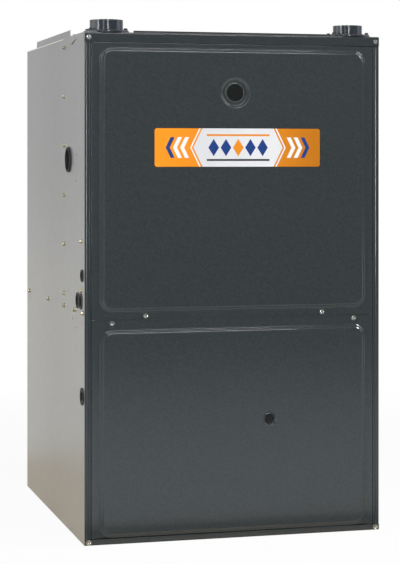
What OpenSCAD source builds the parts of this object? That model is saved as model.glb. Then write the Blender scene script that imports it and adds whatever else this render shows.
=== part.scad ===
// Forced air gas furnace, upflow, condensing: a sheet steel casing with two lift-off doors,
// a burner and vent compartment above the blower deck, and a blower compartment below it.
// Millimetres. +Z is up, the doors face -Y, and the origin is the middle of the footprint.

/* [Casing] */
// Width across the side panels
cab_w = 618; // [606:1:660]
// Height of the casing without the pipe collars
cab_h = 1016; // [1006:1:1060]
// Depth from the front plane to the back
cab_d = 680; // [670:1:720]
// Thickness of the casing's steel sheet
sheet = 1.2; // [1:0.1:1.5]
// Width of the corner post beside the doors
post_w = 13; // [11:0.5:15]
// Thickness of the corner posts and the two front rails
rail_t = 1.5; // [1.2:0.1:1.8]
// Height of the top front rail
top_rail_h = 18.7; // [16:0.1:22]
// Height of the bottom front rail
base_rail_h = 12; // [12:0.5:14]
// Height of the blower deck's top face
deck_z = 466; // [462:1:480]
// Depth of the front compartment, up to the vestibule panel
vest_d = 224; // [222:1:230]
// Width of the flanges that are turned on panels and deck
flange_w = 16; // [15:1:20]

/* [Doors] */
// Thickness of the door sheet
door_t = 1.2; // [0.8:0.1:1.5]
// How far the raised field stands in front of the front plane
door_relief = 5; // [4.5:0.1:6]
// Width of the slope round the raised field
field_slope = 6; // [5:0.5:7]
// Corner radius at the foot of the raised field
field_r = 22; // [20:1:28]
// Depth of the doors' turned edges
door_edge_d = 8; // [6:0.5:9]
// Gap round each door
door_gap = 0.6; // [0.5:0.1:1]
// Thickness of the doors' insulation
insulation_t = 7; // [5:0.5:7.5]

/* [Ports and badge] */
// Radius of the flame sight hole
sight_r = 17.5; // [15:0.5:18.5]
// Radius of the dish round the flame sight hole
sight_dish_r = 31; // [29:0.5:34]
// Radius of the status light hole
status_r = 10; // [8:0.5:11]
// Radius of the dish round the status light hole
status_dish_r = 15; // [14:0.5:18]
// Width of the badge plate
badge_w = 347; // [300:1:380]
// Height of the badge plate
badge_h = 77; // [60:1:90]
// Thickness of the badge plate
badge_t = 0.5; // [0.4:0.1:1]

/* [Pipes] */
// Outer radius of the 2 inch plastic pipe that the collars take
pipe_r = 30.15; // [28:0.05:31]
// Wall of the plastic pipe
pipe_wall = 3.9; // [3:0.1:4.5]
// Radial clearance of a pipe in its socket
pipe_clear = 0.15; // [0.1:0.05:0.3]
// Outer radius of the vent collar
collar_r = 33.5; // [33:0.5:34.5]
// Radius of both collar flanges
collar_flange_r = 46; // [44:0.5:48]
// Height of the vent collar above the casing
collar_h = 27.3; // [25:0.1:33]
// Distance of the collars from the casing's middle
collar_x = 256; // [250:1:260]
// Height of the supply duct flange
duct_flange_h = 20; // [16:1:26]

/* [Screws and grommets] */
// Radius of a screw's washer face
washer_r = 5.2; // [5:0.1:6]
// Height of a screw's washer face and hexagon head together
screw_head_h = 4.4; // [4:0.1:5]
// Radius of a screw's shank
shank_r = 2.1; // [1.8:0.1:2.4]
// Radius of the two gas pipe holes' grommet bores
gas_bore_r = 11; // [10.8:0.1:11.5]
// Radius of the drain grommet's bore
drain_bore_r = 13.6; // [13:0.1:14]
// Radius of the cable entry bushing's bore
cable_bore_r = 8.5; // [7.5:0.1:9]
// Radius of the accessory grommet's bore
accessory_bore_r = 22.5; // [21:0.5:24]

/* [Blower] */
// Radius of the blower wheel
wheel_r = 138; // [130:1:142]
// Width of the blower wheel
wheel_w = 246; // [230:1:252]
// Number of blades on the blower wheel
wheel_blades = 42; // [36:1:48]
// Width of the blower housing
housing_w = 300; // [290:1:310]
// Radius of the blower motor
motor_r = 62; // [56:1:66]
// Length of the blower motor
motor_l = 118; // [100:1:120]

/* [Burners and heat exchanger] */
// Number of burners and heat exchanger tubes
burner_count = 5; // [3:1:5]
// Distance between burners
burner_pitch = 80; // [74:1:84]
// Outer radius of a heat exchanger tube
tube_r = 22; // [20:0.5:23]
// Wall of a heat exchanger tube
tube_wall = 1.2; // [1:0.1:1.6]
// Height between the passes of a tube
pass_pitch = 88; // [80:1:92]
// Radius of the inducer wheel
inducer_r = 62; // [56:1:64]
// Depth of the air filter
filter_t = 25; // [20:1:26]

/* [Hidden] */
$fn = 48;

eps = 0.01;
paint = "#3c4041";
galvanised = "#a7a7a3";
black_plastic = "#2b2e33";
zinc = "#c9c7b8";

half_w = cab_w / 2;
wall_x = half_w - sheet;                                     // inner face of a side panel
front_y = -(cab_d - door_relief - badge_t) / 2;              // the front plane
back_y = front_y + cab_d;
wall_y = back_y - sheet;                                     // inner face of the back panel
vest_y = front_y + vest_d;                                   // front face of the vestibule panel
vest_screw_y = vest_y - flange_w / 2;
deck_under = deck_z - sheet;
seam_z = deck_z - 20.7;
door_half_w = half_w - post_w - door_gap;
door_proud = 0.5;                                            // the doors' margin in front of the front plane
door_in_y = front_y - door_proud + door_t;                   // inner face of the doors' margin
rail_gap = 0.3;                                              // between a door's margin and what it closes on
flange_in_y = front_y + rail_t;                              // where the side panels' front flange starts
hole_clear = 0.2;                                            // round a screw's shank
touch = 0.3;                                                 // small gap to a seat

// ---------------------------------------------------------------- helpers

module box(lo, hi) {
    translate(lo) cube(hi - lo);
}

module rod_x(p, r, l) {
    translate(p) rotate([0, 90, 0]) cylinder(r = r, h = l);
}

module rod_y(p, r, l) {
    translate(p) rotate([-90, 0, 0]) cylinder(r = r, h = l);
}

module rod_z(p, r, l) {
    translate(p) cylinder(r = r, h = l);
}

// Extrudes a profile drawn in (Y, Z) from x0 to x1.
module along_x(x0, x1) {
    translate([x0, 0, 0]) rotate([90, 0, 90]) linear_extrude(x1 - x0) children();
}

// Puts a shape drawn in (X, Z), with its height as depth, on the plane y, growing towards the front.
module facing_front(y) {
    translate([0, y, 0]) rotate([90, 0, 0]) children();
}

// The same, growing towards the left from the plane x, drawn in (Y, Z).
module facing_left(x) {
    translate([x, 0, 0]) mirror([1, 0, 0]) rotate([90, 0, 90]) children();
}

module mirrored_x() {
    children();
    mirror([1, 0, 0]) children();
}

// A hexagon washer-head screw with its seat at the origin, head up.
module screw(len) {
    washer_t = 1;
    difference() {
        union() {
            cylinder(r = washer_r, h = washer_t);
            cylinder(r = washer_r * 0.72, h = screw_head_h, $fn = 6);
            translate([0, 0, -len]) cylinder(r = shank_r, h = len + eps);
        }
        translate([0, 0, screw_head_h - 1]) cylinder(r1 = washer_r * 0.3, r2 = washer_r * 0.5, h = 1 + eps);
    }
}

module screws_front(places, y, len) {
    for (p = places) translate([p[0], y, p[1]]) rotate([90, 0, 0]) screw(len);
}

module screw_holes_front(places, y0, y1) {
    for (p = places) rod_y([p[0], y0, p[1]], shank_r + hole_clear, y1 - y0);
}

// A hollow pipe along +Z.
module pipe_straight(r, wall, l) {
    linear_extrude(l) difference() {
        circle(r);
        circle(r - wall);
    }
}

// A hollow bend that starts along +Z at the origin and turns towards +X.
module pipe_bend(r, wall, bend_r, angle) {
    translate([bend_r, 0, 0]) rotate([90, 0, 180]) rotate_extrude(angle = angle) translate([bend_r, 0])
        difference() {
            circle(r);
            circle(r - wall);
        }
}

// ---------------------------------------------------------------- casing

side_screw_z0 = deck_z + 19;
side_screw_z1 = cab_h - 18;
deck_screw_z = deck_z - 7;
jbox_z0 = deck_z + 31;
jbox_z1 = deck_z + 141;
jbox_y0 = front_y + 10;
jbox_y1 = front_y + 64;
jbox_screw_y = front_y + 34;
base_t = 1.5;
base_leg_h = 20;

// Places of the screws in a side panel, as [y, z].
side_screws = concat(
    [for (i = [0:5]) [vest_screw_y, side_screw_z0 + i * (side_screw_z1 - side_screw_z0) / 5]],
    [for (y = [front_y + 16.5, front_y + 101, vest_screw_y, front_y + 401, back_y - 31.5]) [y, deck_screw_z]],
    [for (z = [jbox_z0 + 4.8, jbox_z1 - 6]) [jbox_screw_y, z]]);

cable_hole = [front_y + 23.3, deck_z + 66.7];
gas_holes = [[front_y + 37, deck_z + 14.5], [front_y + 70, deck_z + 14.5]];
drain_hole = [front_y + 23.3, 292.5];
accessory_hole = [front_y + 163.5, cab_h - 252.3];
pilot_holes = [[front_y + 85, cab_h - 243], [front_y + 85, cab_h - 295], [front_y + 126, deck_z - 26.5],
    [front_y + 88, deck_z - 42], [front_y + 131, 8], [front_y + 355, 8], [front_y + 616, 8]];
grommet_neck = 2.5;                                          // wall of a gas hole grommet's neck
thin_neck = 1.8;                                             // wall of the other grommets' necks

module side_wall() {
    difference() {
        box([-half_w, flange_in_y, 0], [-wall_x, back_y, cab_h]);
        for (s = side_screws) rod_x([-half_w - 1, s[0], s[1]], shank_r + hole_clear, sheet + 2);
    }
}

module side_panel_left() {
    slot = [[-88, -9], [-74, -9], [-110, 0], [-124, 0]];     // the slanted lance under the top cover
    color(galvanised) difference() {
        side_wall();
        for (h = gas_holes) rod_x([-half_w - 1, h[0], h[1]], gas_bore_r + grommet_neck + hole_clear, sheet + 2);
        rod_x([-half_w - 1, drain_hole[0], drain_hole[1]], drain_bore_r + thin_neck + hole_clear, sheet + 2);
        rod_x([-half_w - 1, cable_hole[0], cable_hole[1]], cable_bore_r + thin_neck + hole_clear, sheet + 2);
        rod_x([-half_w - 1, accessory_hole[0], accessory_hole[1]], accessory_bore_r + thin_neck + hole_clear, sheet + 2);
        for (p = pilot_holes) rod_x([-half_w - 1, p[0], p[1]], 2.1, sheet + 2);
        box([-half_w - 1, front_y + 90, 374], [-wall_x + 1, front_y + 91.2, 392]);
        along_x(-half_w - 1, -wall_x + 1) polygon([for (p = slot) [front_y + 212 + p[0], cab_h - 8 + p[1]]]);
    }
}

module side_panel_right() {
    color(galvanised) mirror([1, 0, 0]) side_wall();
}

module back_panel() {
    lip = 18;
    color(galvanised) {
        box([-wall_x, wall_y, 0], [wall_x, back_y, cab_h]);
        mirrored_x() box([-wall_x, wall_y - lip, base_leg_h + 1], [-wall_x + sheet, wall_y + eps, deck_z - flange_w - 4]);
        mirrored_x() box([-wall_x, wall_y - lip, deck_z + 1], [-wall_x + sheet, wall_y + eps, cab_h - sheet - 1]);
    }
}

base_y0 = front_y + 12.5;
base_ring = 45;

module base_frame() {
    color(galvanised) difference() {
        box([-wall_x, base_y0, 0], [wall_x, wall_y, base_leg_h]);
        box([-wall_x + base_t, base_y0 - 1, base_t], [wall_x - base_t, wall_y - base_t, base_leg_h - base_t]);
        box([-wall_x + 20, base_y0 - 1, base_leg_h - base_t - 1], [wall_x - 20, wall_y - 20, base_leg_h + 1]);
        box([-wall_x + base_ring, base_y0 + 30, -1], [wall_x - base_ring, wall_y - base_ring, base_t + 1]);
    }
}

supply_inset = 16;                                           // from the side panel's face to the duct flange
supply_back = 36;
supply_y0 = vest_y + sheet + 0.8;
supply_y1 = back_y - supply_back;
supply_x = half_w - supply_inset;

module supply_flange() {
    top = cab_h + duct_flange_h;
    front_top = cab_h + duct_flange_h * 0.55;                // the front upstand is lower
    cut = 4;                                                 // how far each upstand's ends lean in
    color(galvanised) {
        difference() {
            box([-wall_x, vest_y + sheet, cab_h - sheet], [wall_x, wall_y, cab_h]);
            box([-supply_x + sheet, supply_y0 + sheet, cab_h - sheet - 1],
                [supply_x - sheet, supply_y1 - sheet, cab_h + 1]);
        }
        mirrored_x() along_x(-supply_x, -supply_x + sheet)
            polygon([[supply_y0, cab_h - eps], [supply_y1, cab_h - eps], [supply_y1 - cut, top], [supply_y0 + cut, top]]);
        for (e = [[supply_y0, front_top], [supply_y1 - sheet, top]])
            translate([0, e[0] + sheet, 0]) rotate([90, 0, 0]) linear_extrude(sheet)
                polygon([[-supply_x + sheet, cab_h - eps], [supply_x - sheet, cab_h - eps],
                    [supply_x - sheet - cut, e[1]], [-supply_x + sheet + cut, e[1]]]);
    }
}

cover_t = 1;
collar_y = front_y + 43;
tab_h = 15;

module top_cover() {
    tab = [[flange_in_y + 3, -18], [front_y + 62, -16], [front_y + 62, -8], [front_y + 88, -8],
        [front_y + 128, -tab_h], [vest_screw_y - 7, -tab_h], [vest_screw_y - 7, cover_t], [flange_in_y + 3, cover_t]];
    color(galvanised) difference() {
        union() {
            box([-half_w - cover_t / 2, flange_in_y + 3, cab_h], [half_w + cover_t / 2, vest_y + sheet, cab_h + cover_t]);
            mirrored_x() along_x(-half_w - cover_t, -half_w) polygon([for (p = tab) [p[0], cab_h + p[1]]]);
        }
        mirrored_x() rod_z([-collar_x, collar_y, cab_h - 1], collar_r + 0.5, 3);
        for (p = collar_screw_places) rod_z([p[0], p[1], cab_h - 1], shank_r + hole_clear, 3);
    }
}

corner_screw_x = half_w - 8;
corner_screw_places = [for (x = [-corner_screw_x, corner_screw_x], z = [6.3, cab_h - 9.5]) [x, z]];

module corner_screw_holes() {
    screw_holes_front(corner_screw_places, front_y - 3, front_y + 8);
}

module rail_profile(height, depth, round_r) {
    difference() {
        union() {
            square([depth + rail_t, height - round_r]);
            translate([round_r, 0]) square([depth + rail_t - round_r, height]);
            translate([round_r, height - round_r]) circle(round_r);
        }
        translate([rail_t, -1]) square([depth + 1, height - rail_t + 1]);
    }
}

module rail_end_cuts(z) {
    mirrored_x() box([-half_w - 1, front_y + eps, z - 5], [-wall_x, front_y + 20, z + 5]);
}

module top_rail() {
    color(paint) difference() {
        along_x(-half_w, half_w) translate([front_y - rail_t, cab_h - top_rail_h]) rail_profile(top_rail_h, 4, 2.4);
        rail_end_cuts(cab_h - rail_t + 4.9);
        corner_screw_holes();
    }
}

module base_rail() {
    color(paint) difference() {
        union() {
            along_x(-half_w, half_w) translate([front_y - rail_t, base_rail_h]) mirror([0, 1]) rail_profile(base_rail_h, 12, 3);
            box([-door_half_w + 2, front_y - eps, base_rail_h - rail_t], [door_half_w - 2, front_y + 10, base_rail_h]);
        }
        rail_end_cuts(0);
        corner_screw_holes();
    }
}

module corner_posts() {
    rib_r = 2.8;
    color(paint) difference() {
        mirrored_x() {
            box([-half_w, front_y, rail_t], [-half_w + post_w, flange_in_y, cab_h - rail_t]);
            box([-wall_x, flange_in_y - eps, rail_t], [-half_w + post_w, flange_in_y + sheet, cab_h - rail_t]);
            intersection() {
                rod_z([-half_w + 6, front_y + 0.7, base_rail_h + 1], rib_r, cab_h - top_rail_h - base_rail_h - 2);
                box([-half_w, front_y - 5, 0], [0, front_y + 1, cab_h]);
            }
        }
        corner_screw_holes();
    }
}

housing_x = housing_w / 2;
deck_front_drop = 36;
door_screw_z = [seam_z - 7, seam_z + 7];                     // lower door's row, upper door's row
lower_door_screw_places = [for (x = [-253.7, 253.7]) [x, door_screw_z[0]]];
upper_door_screw_places = [for (x = [-185, 185]) [x, door_screw_z[1]]];
switch_x = -120;
switch_z = deck_z - 29;
plunger_r = 3.5;
hose_x = -215;
hose_y = vest_y - 27;
hose_r = 11;
loom_x = 215;
loom_y = front_y + 120;
deck_front_y = door_in_y + rail_gap;
deck_front_x = door_half_w - door_t - 0.6;                   // between the doors' turned edges

module blower_deck() {
    color(galvanised) difference() {
        union() {
            box([-wall_x, flange_in_y + sheet + 0.3, deck_under], [wall_x, wall_y, deck_z]);
            box([-deck_front_x, deck_front_y, deck_under], [deck_front_x, flange_in_y + 4, deck_z]);
            box([-deck_front_x, deck_front_y, deck_z - deck_front_drop], [deck_front_x, deck_front_y + sheet, deck_z]);
            mirrored_x() box([-wall_x, front_y + 10, deck_z - flange_w], [-wall_x + sheet, wall_y, deck_z]);
        }
        mirrored_x() box([deck_front_x, front_y, deck_under - 1],
            [half_w, front_y - door_proud + door_edge_d + 0.6, deck_z + 1]);
        box([-housing_x + 3, outlet_y0 + 2, deck_under - 1], [housing_x - 3, outlet_y1 - 2, deck_z + 1]);
        screw_holes_front(concat(lower_door_screw_places, upper_door_screw_places), front_y, front_y + 8);
        rod_y([switch_x, front_y, switch_z], plunger_r + 0.5, 8);
        rod_z([hose_x, hose_y, deck_under - 1], hose_r + 1.5, 4);
        rod_z([loom_x, loom_y, deck_under - 1], 14, 4);
        mirrored_x() for (s = side_screws)
            if (s[1] == deck_screw_z) rod_x([-half_w - 1, s[0], s[1]], shank_r + hole_clear, 6);
    }
}

port_z = cab_h - 117.3;                                      // the flame sight hole
burner_z = port_z - 26;
burner_x = [for (i = [0:burner_count - 1]) (i - (burner_count - 1) / 2) * burner_pitch];
box_z0 = port_z - 86;
box_z1 = port_z + 63;
limit_x = burner_pitch / 2;
limit_z = box_z0 - 70;
coil_z0 = deck_z + 14;
coil_z1 = coil_z0 + 112;
coil_x = 235;
window_x = coil_x - 10;

module vestibule_panel() {
    color(galvanised) difference() {
        union() {
            box([-wall_x, vest_y, deck_z], [wall_x, vest_y + sheet, cab_h]);
            mirrored_x() box([-wall_x, vest_y - flange_w + sheet, deck_z], [-wall_x + sheet, vest_y + sheet, cab_h]);
        }
        for (x = burner_x) rod_y([x, vest_y - 1, burner_z], tube_r - tube_wall, sheet + 2);
        box([-window_x, vest_y - 1, coil_z0 + 10], [window_x, vest_y + sheet + 1, coil_z1 - 10]);
        rod_y([limit_x, vest_y - 1, limit_z], 9, sheet + 2);
        mirrored_x() for (s = side_screws)
            if (s[0] == vest_screw_y && s[1] > deck_z) rod_x([-half_w - 1, s[0], s[1]], shank_r + hole_clear, 6);
    }
}

module casing_screws() {
    color(zinc) {
        mirrored_x() for (s = side_screws) {
            in_top = s[1] > cab_h - tab_h;
            translate([-half_w - (in_top ? cover_t : 0), s[0], s[1]]) rotate([0, -90, 0]) rotate(20) screw(10);
        }
    }
}

module corner_screws() {
    color(zinc) screws_front(corner_screw_places, front_y - rail_t, 9);
}

// A rubber grommet in a side hole: its neck fills the hole and its flange, out thick, lies outside.
module grommet(y, z, bore_r, neck_r, flange_r, out) {
    translate([-half_w, y, z]) rotate([0, 90, 0]) difference() {
        union() {
            translate([0, 0, -out]) cylinder(r = flange_r, h = out);
            translate([0, 0, -out]) cylinder(r = neck_r, h = out + sheet + 2);
            translate([0, 0, sheet]) cylinder(r = neck_r + 0.6, h = 2);
        }
        translate([0, 0, -out - 1]) cylinder(r = bore_r, h = out + sheet + 5);
    }
}

module entry_grommets() {
    color("#222426") {
        for (h = gas_holes) grommet(h[0], h[1], gas_bore_r, gas_bore_r + grommet_neck, gas_bore_r + 5.1, 1.8);
        grommet(drain_hole[0], drain_hole[1], drain_bore_r, drain_bore_r + thin_neck, drain_bore_r + 3.8, 2);
        grommet(cable_hole[0], cable_hole[1], cable_bore_r, cable_bore_r + thin_neck, cable_bore_r + 3.8, 2.3);
        grommet(accessory_hole[0], accessory_hole[1], accessory_bore_r, accessory_bore_r + thin_neck,
            accessory_bore_r + 3.6, 4);
    }
}

// ---------------------------------------------------------------- pipe collars

collar_flange_t = 4;
seal_t = 1;
socket_d = 26;                                               // depth of a pipe socket
collar_screw_r = collar_r + washer_r + 0.8;
collar_screw_places = [for (x = [-collar_x, collar_x], a = [25, -25, 155, -155])
    [x + collar_screw_r * cos(a), collar_y + collar_screw_r * sin(a)]];
collar_z = cab_h + cover_t + seal_t;
socket_under = cab_h - 30;

module collar_flange() {
    translate([0, 0, collar_z]) {
        cylinder(r = collar_flange_r, h = collar_flange_t - 1.5);
        translate([0, 0, collar_flange_t - 1.5]) cylinder(r1 = collar_flange_r, r2 = collar_flange_r - 2, h = 1.5);
    }
}

module collar_screws(x) {
    for (p = collar_screw_places)
        if (sign(p[0]) == sign(x)) translate([p[0], p[1], collar_z + collar_flange_t + 0.1]) screw(14);
}

module collar_holes(x) {
    for (p = collar_screw_places)
        if (sign(p[0]) == sign(x)) translate([p[0] - x, p[1] - collar_y, collar_z - 1]) cylinder(r = shank_r + hole_clear, h = 10);
}

module vent_collar() {
    bore_r = pipe_r + pipe_clear;
    color(black_plastic) translate([-collar_x, collar_y, 0]) difference() {
        union() {
            collar_flange();
            translate([0, 0, socket_under]) cylinder(r = collar_r, h = cab_h + collar_h - socket_under);
        }
        translate([0, 0, cab_h + collar_h - socket_d]) cylinder(r = bore_r, h = socket_d + 1);
        translate([0, 0, socket_under - 1]) cylinder(r = bore_r, h = socket_d + 1);
        translate([0, 0, socket_under - 1]) cylinder(r = pipe_r - pipe_wall, h = 80);
        collar_holes(-collar_x);
    }
    color("#2f3338") collar_screws(-collar_x);
}

module intake_collar() {
    top = cab_h + collar_h - 2.2;
    color(black_plastic) translate([collar_x, collar_y, 0]) difference() {
        union() {
            collar_flange();
            translate([0, 0, socket_under]) cylinder(r = collar_r, h = collar_z + eps - socket_under);
            translate([0, 0, collar_z]) cylinder(r = pipe_r, h = top - collar_z);
        }
        translate([0, 0, socket_under - 1]) cylinder(r = pipe_r + pipe_clear, h = socket_d + 1);
        translate([0, 0, socket_under - 1]) cylinder(r = pipe_r - pipe_wall, h = 80);
        collar_holes(collar_x);
    }
    color("#2f3338") collar_screws(collar_x);
}

module top_seals() {
    color("#1d1f20") {
        difference() {
            for (x = [-collar_x, collar_x]) translate([x, collar_y, collar_z - seal_t]) cylinder(r = collar_flange_r - 1, h = seal_t);
            for (x = [-collar_x, collar_x]) translate([x, collar_y, collar_z - seal_t - 1]) cylinder(r = collar_r + 0.5, h = seal_t + 2);
            for (p = collar_screw_places) translate([p[0], p[1], collar_z - seal_t - 1]) cylinder(r = shank_r + hole_clear, h = seal_t + 2);
        }
        box([-collar_x + collar_flange_r + 3, front_y + 5, cab_h + cover_t],
            [collar_x - collar_flange_r - 3, front_y + 13, cab_h + cover_t + 3.8]);
    }
}

// ---------------------------------------------------------------- doors

door_z = [base_rail_h + door_gap, seam_z - door_gap / 2, seam_z + door_gap / 2, cab_h - top_rail_h - door_gap];
field_half_w = door_half_w - 20.4;
lower_field = [door_z[0] + 4.4, door_z[1] - 22.5];
upper_field = [door_z[2] + 17.4, door_z[3] - 12.2];
field_h = door_relief - door_proud;                          // from the margin to the raised field
field_face_y = front_y - door_relief;
status = [71.9, 238.4];
badge_x = 5.5;
badge_z = cab_h - 228;

// The raised field as a solid: a frustum with conical corners, foot outline from lo to hi.
module field(lo, hi, r, slope, h) {
    translate([lo[0] + r, 0, 0]) rotate([90, 0, 90]) linear_extrude(hi[0] - lo[0] - 2 * r)
        polygon([[lo[1], 0], [hi[1], 0], [hi[1] - slope, h], [lo[1] + slope, h]]);
    translate([0, hi[1] - r, 0]) rotate([90, 0, 0]) linear_extrude(hi[1] - lo[1] - 2 * r)
        polygon([[lo[0], 0], [hi[0], 0], [hi[0] - slope, h], [lo[0] + slope, h]]);
    for (x = [lo[0] + r, hi[0] - r], y = [lo[1] + r, hi[1] - r]) translate([x, y, 0]) cylinder(r1 = r, r2 = r - slope, h = h);
}

// Cuts a dish with a through hole into the raised field, at p.
module dish_cut(p, hole_r, dish_r, d) {
    slope = 4;
    translate([p[0], p[1], field_h - d]) {
        cylinder(r1 = dish_r - slope, r2 = dish_r, h = d + eps);
        translate([0, 0, -10]) cylinder(r = hole_r, h = 20);
    }
}

module door_skin(z0, z1, field_z, turned_z, port, hole_r, dish_r, dish_d, screw_places) {
    lo = [-field_half_w, field_z[0]];
    hi = [field_half_w, field_z[1]];
    difference() {
        union() {
            difference() {
                union() {
                    translate([-door_half_w, z0, -door_t]) cube([2 * door_half_w, z1 - z0, door_t]);
                    field(lo, hi, field_r, field_slope, field_h);
                }
                translate([0, 0, -door_t - eps]) field(lo, hi, field_r, field_slope, field_h);
            }
            translate([port[0], port[1], field_h - dish_d - door_t]) cylinder(r = dish_r, h = dish_d + door_t / 2);
            for (x = [-door_half_w, door_half_w - door_t])
                translate([x, z0, -door_edge_d]) cube([door_t, z1 - z0, door_edge_d]);
            translate([-door_half_w, turned_z, -door_edge_d]) cube([2 * door_half_w, door_t, door_edge_d]);
        }
        dish_cut(port, hole_r, dish_r, dish_d);
        for (p = screw_places) translate([p[0], p[1], -10]) cylinder(r = shank_r + hole_clear, h = 20);
    }
}

sight_dish_d = 4;
status_dish_d = 2;

module upper_door() {
    color(paint) facing_front(front_y - door_proud)
        door_skin(door_z[2], door_z[3], upper_field, door_z[3] - door_t, [0, port_z], sight_r, sight_dish_r,
            sight_dish_d, upper_door_screw_places);
}

module lower_door() {
    color(paint) facing_front(front_y - door_proud)
        door_skin(door_z[0], door_z[1], lower_field, door_z[0], status, status_r, status_dish_r,
            status_dish_d, lower_door_screw_places);
}

module insulation(field_z, port, clear_r) {
    inset = 12;
    y0 = field_face_y + door_t + 2 * eps;
    difference() {
        box([-field_half_w + inset, y0, field_z[0] + inset], [field_half_w - inset, y0 + insulation_t, field_z[1] - inset]);
        rod_y([port[0], y0 - 1, port[1]], clear_r, insulation_t + 2);
    }
}

module upper_door_insulation() {
    color("silver") insulation(upper_field, [0, port_z], sight_dish_r + 3);
}

module lower_door_insulation() {
    color("silver") insulation(lower_field, status, status_dish_r + 3);
}

// A lens behind a door's hole, with a shoulder against the back of the dish.
module lens(p, hole_r, dish_d, t) {
    seat_y = field_face_y + dish_d + door_t;
    rod_y([p[0], seat_y, p[1]], hole_r + 4, t);
    rod_y([p[0], seat_y - door_t, p[1]], hole_r - 0.2, door_t + eps);
}

module sight_glass() {
    color("#202326") lens([0, port_z], sight_r, sight_dish_d, 2.5);
}

module status_window() {
    color("#202326") lens(status, status_r, status_dish_d, 3);
}

module badge_plate() {
    r = 5;
    color("orange") facing_front(field_face_y) linear_extrude(badge_t) translate([badge_x - badge_w / 2, badge_z - badge_h / 2]) {
        translate([r, 0]) square([badge_w - 2 * r, badge_h]);
        translate([0, r]) square([badge_w, badge_h - 2 * r]);
        for (x = [r, badge_w - r], y = [r, badge_h - r]) translate([x, y]) circle(r);
    }
}

module upper_door_screws() {
    color(zinc) screws_front(upper_door_screw_places, front_y - door_proud, 7);
}

module lower_door_screws() {
    color(zinc) screws_front(lower_door_screw_places, front_y - door_proud, 7);
}

// ---------------------------------------------------------------- burners and gas

box_half_w = 2 * burner_pitch + 55;
box_y0 = vest_y - 130;
box_y1 = vest_y - touch;
manifold_y = vest_y - 112;
manifold_r = 10.7;
orifice_l = 12;
burner_y = manifold_y + manifold_r + 3;
burner_l = 84;
valve_x = 105;
valve_z = box_z0 - 66;
cover_y = box_y0 - touch;
sensor_y = vest_y - 10;
rollout_x = box_half_w - 35;
rollout_z = box_z1 - 28;
rollout_l = 14;
knob_r = 16;

module burner_box() {
    flange = 10;
    color(galvanised) difference() {
        union() {
            box([-box_half_w, box_y0, box_z0], [box_half_w, box_y1, box_z1]);
            box([-box_half_w - flange, box_y1 - sheet, box_z0 - flange], [box_half_w + flange, box_y1, box_z1 + flange]);
        }
        box([-box_half_w + sheet, box_y0 - 1, box_z0 + sheet], [box_half_w - sheet, box_y1 + 1, box_z1 - sheet]);
        rod_z([valve_x, manifold_y, box_z0 - 1], manifold_r + 1, 4);
        for (x = [burner_x[0], burner_x[burner_count - 1]]) rod_z([x, sensor_y, box_z0 - 1], 7, 4);
    }
}

module burner_box_cover() {
    color(galvanised) difference() {
        union() {
            box([-box_half_w - 3, cover_y - sheet, box_z0 - 3], [box_half_w + 3, cover_y, box_z1 + 3]);
            rod_y([0, cover_y - 4, port_z], 22, 4);
        }
        rod_y([0, cover_y - 6, port_z], 15, 10);
        mirrored_x() rod_y([rollout_x, cover_y - 6, rollout_z], 8, 10);
    }
}

module burners() {
    wall = [[15, 0], [11, 18], [11, 50], [19, 76], [19, burner_l], [18, burner_l], [18, 76], [10, 50], [10, 18], [14, 0]];
    strip_w = 24;
    color(galvanised) {
        for (x = burner_x) translate([x, burner_y, burner_z]) rotate([-90, 0, 0]) rotate_extrude() polygon(wall);
        translate([0, burner_y + 36, burner_z]) rotate([90, 0, 0]) linear_extrude(1.5) difference() {
            square([2 * (box_half_w - sheet - touch), strip_w], center = true);
            for (x = burner_x) translate([x, 0]) circle(10.5);
        }
    }
}

module gas_manifold() {
    color(black_plastic) difference() {
        union() {
            rod_x([burner_x[0] - 14, manifold_y, burner_z], manifold_r, burner_x[burner_count - 1] - burner_x[0] + 28);
            rod_x([-box_half_w + sheet + touch, manifold_y, burner_z], 5, 2 * (box_half_w - sheet - touch));
            for (x = burner_x) rod_y([x, manifold_y, burner_z], 5.5, manifold_r + orifice_l);
            rod_z([valve_x, manifold_y, valve_z + 36], manifold_r - 0.5, burner_z - valve_z - 36);
        }
        rod_x([burner_x[0] - 10, manifold_y, burner_z], manifold_r - 2.5, burner_x[burner_count - 1] - burner_x[0] + 20);
        for (x = burner_x) rod_y([x, manifold_y, burner_z], 1.2, 30);
        rod_z([valve_x, manifold_y, valve_z], manifold_r - 3, burner_z - valve_z);
    }
}

gas_inlet_r = 9.5;
valve_half = [46, 30, 35.5];

module gas_valve() {
    y = manifold_y;
    color("silver") difference() {
        union() {
            box([valve_x - valve_half[0], y - valve_half[1], valve_z - valve_half[2]],
                [valve_x + valve_half[0], y + valve_half[1], valve_z + valve_half[2]]);
            rod_x([valve_x - valve_half[0] - 14, y, valve_z], 16, 15);
            for (x = [-22, 22]) rod_y([valve_x + x, y - valve_half[1] - 14, valve_z - 12], 15, 15);
        }
        rod_x([valve_x - valve_half[0] - 15, y, valve_z], gas_inlet_r, 30);
        rod_z([valve_x, y, valve_z], manifold_r - 3, 40);
    }
}

module gas_valve_knob() {
    face_y = manifold_y - valve_half[1] - touch;
    color("#c23a2b") translate([valve_x, face_y, valve_z + 18]) rotate([90, 0, 0]) {
        cylinder(r = knob_r, h = 8);
        translate([-2.5, -knob_r + 1, 8 - eps]) cube([5, 2 * knob_r - 2, 6]);
    }
}

module igniter() {
    x = burner_x[burner_count - 1];
    color("white") {
        rod_z([x, sensor_y, box_z0 - 22], 6.5, burner_z - 30 - box_z0 + 22);
        rod_z([x, sensor_y, burner_z - 30 - eps], 2, 24);
    }
}

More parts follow.
